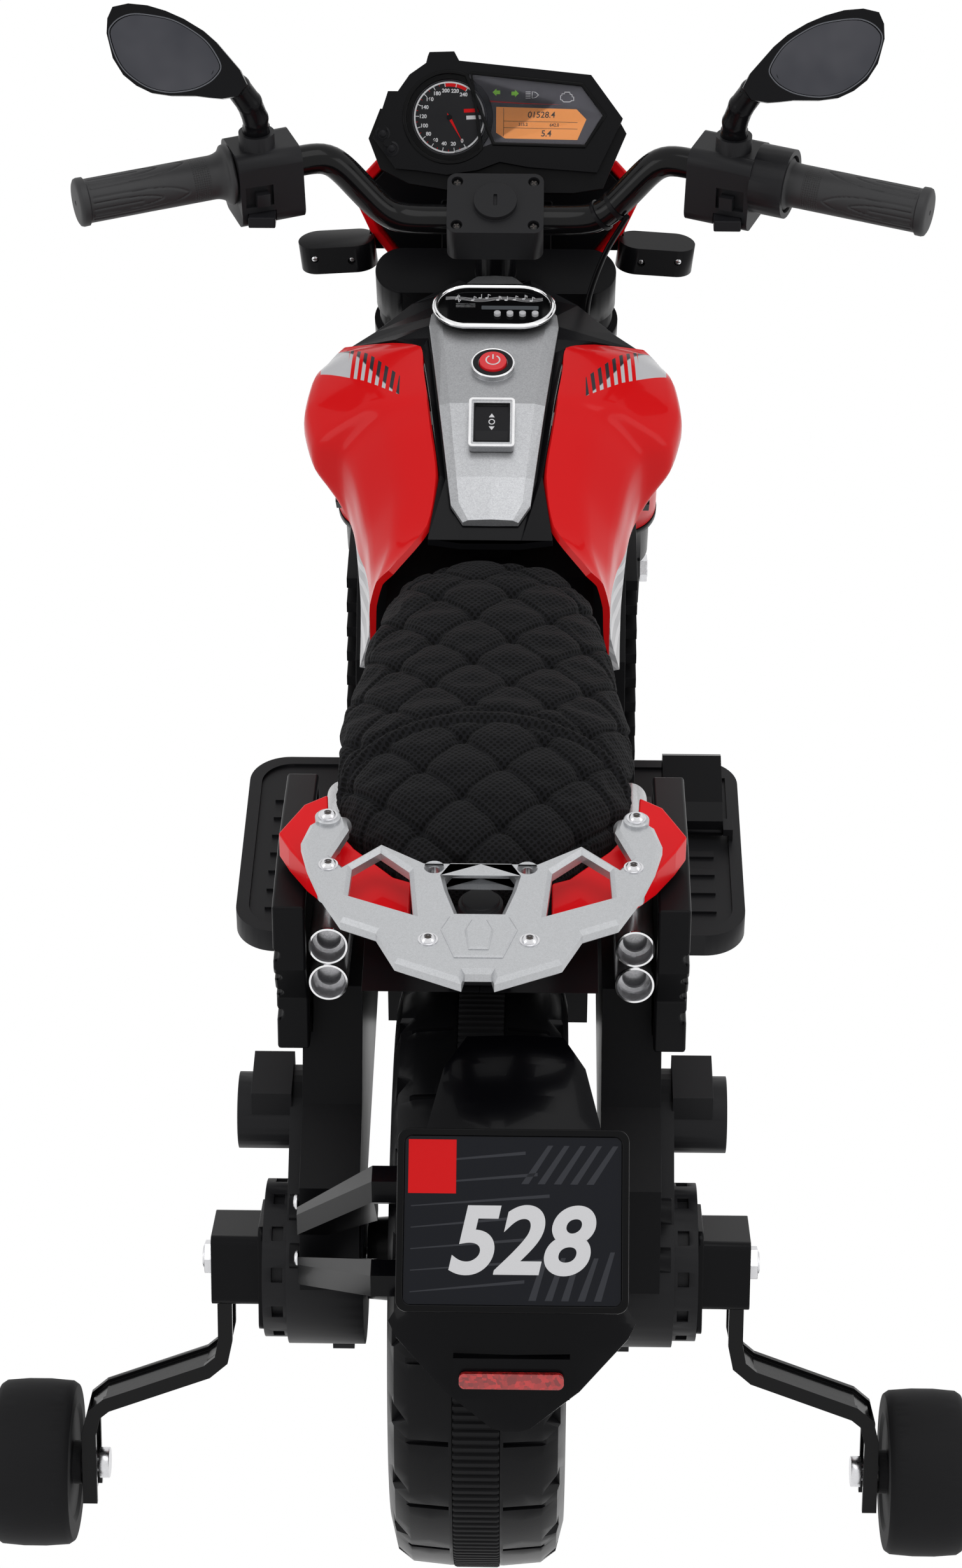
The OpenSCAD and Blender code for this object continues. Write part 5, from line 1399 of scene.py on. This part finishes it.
# %% Power button and direction switch
stuck("power_bezel", [ring(0, 0, 11.5, 8.7, 1.5, 2.3)], button_plastic, power_place, "chassis", "black_plastic", edge=0.3, smooth=60)
stuck("power_ring", [ring(0, 0, 12.9, 11.5, 1.0, 2.1)], chrome, power_place, "chassis", "silver_panel", edge=0.4, smooth=60)
sign = [ring(0, 0.2, 4.4, 3.6, 3.66, 3.82, 122, 418, 30), line((0, 1.0), (0, 5.0), 0.8, 3.66, 3.84)]
stuck("power_sign", sign, white_ink, power_place, "power_button", "display")
rim = [band(round_rect(0, 0, 25.2, 32.2, 1.6)[:-1], 1.5, 1.6, 2.6, closed=True)]
stuck("switch_rim", rim, chrome, rocker_place, "chassis", "silver_panel", edge=0.4)
rocker_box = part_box("direction_switch")
print("power button and switch trimmed", [round(c / MM, 1) for c in rocker_box[1]])
stuck("switch_sign", [slab([[(0, 6.0), (-1.7, 3.4), (1.7, 3.4)]], 2.0, 2.1), slab([[(0, -5.4), (1.7, -2.9), (-1.7, -2.9)]], 2.0, 2.1),
                      ring(0, 0.3, 1.9, 1.35, 2.0, 2.1)], white_ink, rocker_place, "direction_switch", "display")
stuck("switch_frame", [band(round_rect(0, 0, 22.6, 29.6, 1.2)[:-1], 3.2, 0.6, 1.9, closed=True)], button_plastic, rocker_place,
      "chassis", "black_plastic", edge=0.3)

# %% [markdown]
# ## The painted tank
# The frame's tank is made of flat facets, while the real one is a smooth blow moulding with a crease
# along its shoulder. The frame's rows are read only to count them, and a smooth line is drawn through rows listed in a
# table.
# Across the tank the surface is rounded too, but the shoulder keeps a tight bend.

# %% Tank skins
TANK_THICK = 4.0


def tank_rows(name):
    """The rows of the frame's panel, as (d, outer points from the spine down)."""
    rows = {}
    for v in node[name].data.vertices:
        d = round((v.co.y - AXLE.y) / MM, 1)
        rows.setdefault(d, set()).add((round(abs(v.co.x) / MM, 2), round(v.co.z / MM, 2)))
    return {d: sorted(points) for d, points in sorted(rows.items())}


print("rows in the frame", len(tank_rows("tank_right")), "points in each",
      {len(p) for p in tank_rows("tank_right").values()})

TANK = [
    (300, [(58, 419), (65, 411), (69, 395), (70, 374), (75.5, 352)]),
    (325, [(36.5, 434), (56, 424), (69, 402), (71, 378), (76, 356)]),
    (351, [(32, 452), (54, 441), (72, 414), (74, 388), (77, 366)]),
    (378, [(36, 469), (59, 459), (80, 434), (81, 406), (80.5, 386)]),
    (394, [(38, 475), (66, 464), (88, 440), (89, 416), (84, 390)]),
    (402, [(38.5, 477.5), (72, 469), (103, 444), (105, 424), (93, 405)]),
    (422, [(41, 481.5), (76, 474), (109, 455), (112, 436), (101, 413)]),
    (443, [(43, 484.5), (78, 478), (106, 463), (111, 440), (101, 412)]),
    (456, [(60, 479.5), (84, 474), (102, 462), (108, 442), (100, 414)]),
    (468, [(89, 469.5), (94, 465), (101, 456), (105, 442), (98, 418)]),
    (484, [(89, 459), (93, 455), (97, 449), (99, 440), (94, 425)]),
]


def through(points, steps, tight=1.0):
    """A smooth open line through points. tight below 1 keeps it nearer to the straight lines."""
    out = []
    for i in range(len(points) - 1):
        a, b = points[i], points[i + 1]
        before = points[i - 1] if i else a * 2 - b
        after = points[i + 2] if i + 2 < len(points) else b * 2 - a
        for s in range(steps):
            t = s / steps
            straight = a.lerp(b, t)
            curve = 0.5 * (2 * a + (b - before) * t + (2 * before - 5 * a + 4 * b - after) * t * t
                           + (3 * a - before - 3 * b + after) * t ** 3)
            out.append(straight.lerp(curve, tight))
    return out + [points[-1]]


def tank_skin(side):
    lines = []
    for column in range(5):
        row = [Vector((p[column][0], d, p[column][1])) for d, p in TANK]
        lines.append(through(row, 5, 0.62))
    outer = []
    for k in range(len(lines[0])):
        outer.append(through([line[k] for line in lines], 5, 0.55))
    rings = []
    for ring_points in outer:
        inner = []
        for i, p in enumerate(ring_points):
            a, b = ring_points[max(i - 1, 0)], ring_points[min(i + 1, len(ring_points) - 1)]
            way = Vector(((b - a).z, 0, -(b - a).x)).normalized()
            inner.append(p + way * TANK_THICK)
        rings.append([Vector((side * p.x, p.y + AXLE.y / MM, p.z)) for p in ring_points + inner[::-1]])
    return skin(rings)


for side, name in ((1, "tank_right"), (-1, "tank_left")):
    panel = piece(name + "_skin", *tank_skin(side), tank_red, "chassis", "red_panel", smooth=42)
    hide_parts(name)
print("tank skins through", len(TANK), "rows")

# %% [markdown]
# ## Number plate, and where the reflector sits
# The plate has a thin raised border. Its film carries a plain slanted number, a bare red square and
# faint grey stripes. The stripes are as dark as smoke, so they only show where light rakes the plate.

# %% Plate film
plate_place = turned(at(18, 0, 165), ("X", 90 - 48))
plate_film = slab([round_rect(0, 0, 106.4, 82.4, 2.5)], 222.5, 222.75)
stuck("plate_film", [plate_film], plate_black, plate_place, "chassis", "gloss_black")
stuck("plate_square", [slab([[(-51.5, 39.5), (-51.5, 13), (-28, 13), (-28, 39.5)][::-1]], 222.7, 222.95)], red_ink, plate_place,
      "chassis", "red_panel")
stuck("plate_number", [shifted(numerals("528", 46, 0.22, 0.22, 1.2), 2, -11.5, 222.85)], white_ink, plate_place, "chassis", "display")
stripes = []
for k in range(7):
    y = 34 - 10.5 * k
    stripes.append(slab([[(-50, y - 6), (6 + 6 * (k % 3), y), (6 + 6 * (k % 3), y - 1.6), (-50, y - 6.5)][::-1]], 222.7, 222.82))
for k in range(5):
    x = 11 + 8 * k
    stripes.append(slab([[(x - 3, -39), (x + 5, -15 - 3 * (k % 2)), (x + 7.2, -15 - 3 * (k % 2)), (x + 0.6, -39)][::-1]], 222.7, 222.82))
    stripes.append(slab([[(x - 7, 18), (x + 6, 37), (x + 8.6, 37), (x - 3.4, 18)][::-1]], 222.7, 222.82))
stuck("plate_stripes", stripes, smoke_ink, plate_place, "chassis", "gloss_black")
reflector_place = turned(at(0, 0, 165), ("X", 90 - 26))
print("plate number stands", 46, "mm tall")

# %% [markdown]
# ## Mirrors
# Each mirror is a dark glass laid in a shallow recess with a fine pale rim. The arm is moulded with a
# grid of small cells on its front.

# %% Mirror glass
GLASS = [(32, 11), (30, 16), (25, 20), (17.5, 22), (6, 21), (-5, 18.5), (-15.5, 13), (-24, 6.5), (-30, -2), (-32, -8),
         (-29, -13), (-24, -17), (-15.5, -20.5), (-3, -22), (8, -20), (16.5, -15.5), (24, -9), (29, 0)]
glass_line = [tuple(p) for p in closed_spline([Vector(p) for p in GLASS], 4)]
mirror_right_place = turned(Vector((0.1895, AXLE.y + 0.480, 0.6545)), ("X", 62))
for name, place, body in (("right", mirror_right_place, "mirror_right"), ("left", MIRRORED @ mirror_right_place, "mirror_left")):
    pane = [(x * 0.985, y * 0.985) for x, y in glass_line]
    stuck("mirror_glass_" + name, [slab([pane], -1.55, -0.5)], mirror, place, body, "gloss_black", edge=0.3)
    stuck("mirror_rim_" + name, [band([(x * 1.005, y * 1.005) for x, y in glass_line], 0.7, -0.6, 0.1, closed=True)], grey_ink,
          place, body, "black_plastic")
print("mirror glasses", 2)

# %% [markdown]
# ## Bolts and screws
# Real fasteners tell the eye how big a toy is. The rail is held by six socket bolts, the lamps by
# cross screws, and the arms and brackets by zinc screws.

# %% Rail bolts and lamp screws
RAIL_BOLTS = [(77, -5, 439), (25, -65, 439), (79, 34, 441)]
heads, socket_shades = zip(*[[shifted(p, side * x, d + AXLE.y / MM, z - 0.2) for p in socket_bolt(4.0, 2.4)]
                       for x, d, z in RAIL_BOLTS for side in (1, -1)])
stuck("rail_bolts", heads, zinc_plate, Matrix.Identity(4), "chassis", "steel", smooth=40)
# painted shade: a dark floor in each socket stands for the shade inside it
stuck("rail_bolt_socket_shade", socket_shades, dark_ink_and_slot_shade, Matrix.Identity(4), "chassis", "steel")
lamp_heads, lamp_slot_shades = [], []
for side in (1, -1):
    for x in (90, 113):
        spot = turned(at(side * x, 578.4, 470), ("X", 90))
        head, slot = cross_screw(2.2, 1.3)
        lamp_heads.append(moved(head, spot))
        lamp_slot_shades.append(moved(slot, spot))
stuck("lamp_screws", lamp_heads, zinc_plate, Matrix.Identity(4), "steering", "steel", smooth=40)
# painted shade: the dark crosses stand for the shade in the cross recesses
stuck("lamp_screw_slot_shade", lamp_slot_shades, dark_ink_and_slot_shade, Matrix.Identity(4), "steering", "steel")
bracket_heads, bracket_slot_shades = [], []
for side, x, d, z in ((-1, 97.2, -28, 231), (-1, 97.2, -38, 200)):
    spot = turned(at(side * x, d, z), ("Y", side * 90))
    head, slot = cross_screw(4.2, 2.0)
    bracket_heads.append(moved(head, spot))
    bracket_slot_shades.append(moved(slot, spot))
stuck("bracket_screws", bracket_heads, zinc_plate, Matrix.Identity(4), "chassis", "steel", smooth=40)
# painted shade: the dark crosses stand for the shade in the cross recesses
stuck("bracket_screw_slot_shade", bracket_slot_shades, dark_ink_and_slot_shade, Matrix.Identity(4), "chassis", "steel")
print("rail bolts", len(heads), "lamp screws", len(lamp_heads))

# %% [markdown]
# ## Rear tyre band
# A soft band with fine cross ribs is stretched round the middle of the rear wheel to grip the floor.
# The ribs are real geometry, because they make a toothed outline where the wheel meets the ground.

# %% Ribbed band
BAND_HALF = 12.0
BAND_IN = 160.3
RIBS = 208
RIB_DEEP = 1.6


def ribbed_band():
    verts, faces = [], []
    steps = ((0.0, 0.0), (0.42, 0.0), (0.56, RIB_DEEP), (0.86, RIB_DEEP))
    n = RIBS * len(steps)
    for k in range(n):
        share, deep = steps[k % len(steps)]
        a = 2 * math.pi * (k // len(steps) + share) / RIBS
        for x, r in ((-BAND_HALF, BAND_IN), (-BAND_HALF, WHEEL_R - 0.5 - deep), (-BAND_HALF + 1.2, WHEEL_R - deep),
                     (BAND_HALF - 1.2, WHEEL_R - deep), (BAND_HALF, WHEEL_R - 0.5 - deep), (BAND_HALF, BAND_IN)):
            verts.append((x, r * math.sin(a), r * math.cos(a)))
    for k in range(n):
        nxt = (k + 1) % n
        faces += [[k * 6 + i, nxt * 6 + i, nxt * 6 + (i + 1) % 6, k * 6 + (i + 1) % 6] for i in range(6)]
    return verts, faces


made_band = piece("ribbed_tyre_band", *ribbed_band(), band_rubber, "rear_wheel", "band_rubber", Matrix.Translation(AXLE), smooth=25)
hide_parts("rear_band")
print("ribs", RIBS, "pitch", round(2 * math.pi * WHEEL_R / RIBS, 2), "mm")

# %% [markdown]
# ## Grab rail
# The rail is a flat casting whose every edge has a wide flat chamfer, round its windows too. Blender's
# filled curve makes exactly that: an outline with holes, a thickness and a one-step bevel. The bevel
# would widen the shape, so the outline is first drawn in by the same amount.

# %% Rail from filled outlines
RAIL_HALF = [(0, -1), (28, -1), (51, 15), (70, -4), (76, 4), (68, 27), (70, 37), (78, 41), (88, 31), (92, 15), (88, -3),
             (81, -24), (69, -49), (51, -58), (41, -81), (8, -97), (6.5, -89), (0, -89)]
RAIL_WINDOW = [(36, -8), (51, 8), (65, -6), (66, -28), (33, -43)]
RAIL_MIDDLE = [(-14, -5), (14, -5), (18, -13), (16, -24), (11, -42), (-11, -42), (-16, -24), (-18, -13)]
RAIL_RELIEF = [(-15, -47), (-19, -57), (-12, -79), (12, -79), (19, -57), (15, -47)]
RAIL_TONGUE = [(-7, -59), (-4, -51), (4, -51), (7, -59), (5, -74), (-5, -74)]


def chamfered(outlines, low, high, edge):
    """Points and faces of a flat part with holes, chamfered along every edge."""
    curve = bpy.data.curves.new("outline", "CURVE")
    curve.dimensions = "2D"
    curve.fill_mode = "BOTH"
    curve.extrude = (high - low) / 2 - edge
    curve.bevel_depth = edge
    curve.bevel_resolution = 0
    curve.offset = -edge
    for outline in outlines:
        spline = curve.splines.new("POLY")
        spline.points.add(len(outline) - 1)
        for point, (x, y) in zip(spline.points, outline):
            point.co = (x, y, 0, 1)
        spline.use_cyclic_u = True
    holder = bpy.data.objects.new("outline", curve)
    mesh = bpy.data.meshes.new_from_object(holder)
    middle = (high + low) / 2
    part = [v.co + Vector((0, 0, middle)) for v in mesh.vertices], [list(p.vertices) for p in mesh.polygons]
    bpy.data.objects.remove(holder)
    bpy.data.meshes.remove(mesh)
    bpy.data.curves.remove(curve)
    return part


rail_outline = RAIL_HALF[:-1] + [(-x, d) for x, d in RAIL_HALF[:0:-1]]
holes = [[(23.5 * s + 3.0 * math.cos(a / 9 * math.pi), -6 + 3.0 * math.sin(a / 9 * math.pi)) for a in range(18)] for s in (1, -1)]
rail_parts = [chamfered([rail_outline, RAIL_WINDOW, [(-x, d) for x, d in RAIL_WINDOW], RAIL_MIDDLE] + holes, 430, 439, 2.2)]
rail_parts.append(chamfered([RAIL_RELIEF], 438, 440.2, 0.9))
rail_parts.append(chamfered([RAIL_TONGUE], 439, 441.4, 0.9))
for side in (1, -1):
    for x, d, r in ((77, -5, 6), (25, -65, 4.5), (79, 34, 6)):
        rail_parts.append(shifted(lathe([(0.01, 418.4), (r, 418.4), (r, 432), (0.01, 432)], 32), side * x, d))
    rail_parts.append(shifted(lathe([(0.01, 430), (6.6, 430), (6.6, 440.4), (6.0, 441), (0.01, 441)], 36), side * 79, 34))
    rail_parts.append(sweep_tube([(side * 79, 34, 433.5), (side * 72, 46, 425)], 5, 20))
new_rail = stuck("grab_rail_casting", rail_parts, rail_silver, Matrix.Translation((0, AXLE.y, 0)), "chassis", "silver_panel", smooth=25)
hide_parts("grab_rail")
print("rail parts", len(rail_parts))

# %% [markdown]
# The instruments sit in a raised glossy rim, and the exhaust mouths have a bright turned lip with a
# darker ring inside.

# %% Dash rim and exhaust lips
pane_line = [on_dial(27.2, a) for a in range(-44, -293, -8)][::-1] + [(-12.5, 21.2), (54.6, 14.7), (68.9, -3.5), (56.8, -22.4), (1.2, -21.2)]
stuck("dash_rim", [band(pane_line, 2.4, -0.7, 0.9, closed=True)], gloss_plastic, dash_place, "steering", "gloss_black", edge=0.7, smooth=50)
lips, throats = [], []
for side in (1, -1):
    for k in (0, 1):
        mouth = turned(at(side * 80, 20, 367), ("X", -12)) @ Matrix.Translation((0, 0, -21 * k * MM)) @ Matrix.Rotation(math.radians(-90), 4, "X")
        lips.append(moved(lathe([(10.0, 0.6), (10.5, 0), (10.2, -0.7), (9.2, -0.8), (8.75, 0), (8.75, 1.2), (9.4, 1.2)], 48), mouth))
        throats.append(moved(lathe([(8.7, 9.0), (6.4, 9.2), (6.1, 10.4), (8.7, 10.6)], 48), mouth))
stuck("exhaust_lips", lips, chrome, Matrix.Identity(4), "chassis", "silver_panel", smooth=60)
stuck("exhaust_throats", throats, pipe_silver, Matrix.Identity(4), "chassis", "silver_panel", smooth=50)
print("exhaust mouths", len(lips))

# %% [markdown]
# ## Floor and light
# The photograph has a white ground with no visible edge. The floor is white for the camera, and for
# reflections, but for all other light it is a plain pale floor that keeps the motorbike's shadow. The
# light is a big soft box above and two fainter ones, so that black plastic shows broad soft shines.


# %% Floor and world
def seen_white(tree, plain):
    """Mixes plain light with full white where the camera or a reflection looks."""
    path = tree.add("ShaderNodeLightPath")
    seen = tree.math("MAXIMUM", path.outputs["Is Camera Ray"], path.outputs["Is Glossy Ray"])
    seen = tree.math("MAXIMUM", seen, path.outputs["Is Transmission Ray"])
    white = tree.add("ShaderNodeEmission", {"Strength": 1.0})
    mix = tree.add("ShaderNodeMixShader", {0: seen})
    tree.feed(mix.inputs[1], plain)
    tree.feed(mix.inputs[2], white.outputs[0])
    return mix.outputs[0]


print("ground is white where it is seen")

# %% Floor, world and lamps
def stage_floor():
    mesh = bpy.data.meshes.new("studio_floor")
    mesh.from_pydata([(-9, -9, 0), (9, -9, 0), (9, 9, 0), (-9, 9, 0)], [], [(0, 1, 2, 3)])
    made = bpy.data.objects.new("studio_floor", mesh)
    bpy.context.scene.collection.objects.link(made)
    ground = bpy.data.materials.new("studio_ground")
    ground.use_nodes = True
    ground.node_tree.nodes.clear()
    tree = Tree(ground.node_tree)
    here = tree.add("ShaderNodeTexCoord").outputs["Object"]
    wash = tree.add("ShaderNodeTexNoise", {"Vector": here, "Scale": 0.8, "Detail": 2.0})
    plain = tree.add("ShaderNodeBsdfDiffuse")
    tree.feed(plain.inputs["Color"], tree.blend(wash.outputs["Fac"], (0.86, 0.86, 0.86, 1), (0.93, 0.93, 0.93, 1)))
    out = tree.add("ShaderNodeOutputMaterial")
    tree.feed(out.inputs["Surface"], seen_white(tree, plain.outputs[0]))
    mesh.materials.append(ground)


def stage_world(level):
    world = bpy.data.worlds.new("studio_air")
    bpy.context.scene.world = world
    world.use_nodes = True
    world.node_tree.nodes.clear()
    tree = Tree(world.node_tree)
    path = tree.add("ShaderNodeLightPath")
    seen = tree.math("MAXIMUM", path.outputs["Is Camera Ray"], path.outputs["Is Transmission Ray"])
    seen = tree.math("MAXIMUM", seen, path.outputs["Is Glossy Ray"])
    strength = tree.math("ADD", level, tree.math("MULTIPLY", seen, 1.0 - level))
    air = tree.add("ShaderNodeBackground", {"Color": (1, 1, 1, 1), "Strength": strength})
    out = tree.add("ShaderNodeOutputWorld")
    tree.feed(out.inputs["Surface"], air.outputs[0])


def lamp(name, place, aim, size, power):
    light = bpy.data.lights.new(name, "AREA")
    light.shape = "RECTANGLE"
    light.size, light.size_y = size
    light.energy = power
    made = bpy.data.objects.new(name, light)
    made.location = place
    made.rotation_euler = (Vector(aim) - Vector(place)).to_track_quat("-Z", "Y").to_euler()
    bpy.context.scene.collection.objects.link(made)


stage_floor()
stage_world(0.5)
lamp("soft_box_above", (0.3, -0.5, 2.6), (0, 0, 0.3), (1.6, 1.6), 12)
lamp("soft_box_left", (-2.2, -1.2, 1.3), (0, 0, 0.35), (1.0, 1.6), 8)
lamp("soft_box_right", (2.2, -1.0, 1.2), (0, 0, 0.35), (1.0, 1.6), 7)
bpy.context.scene.view_settings.view_transform = "Standard"
print("three lamps and the world")
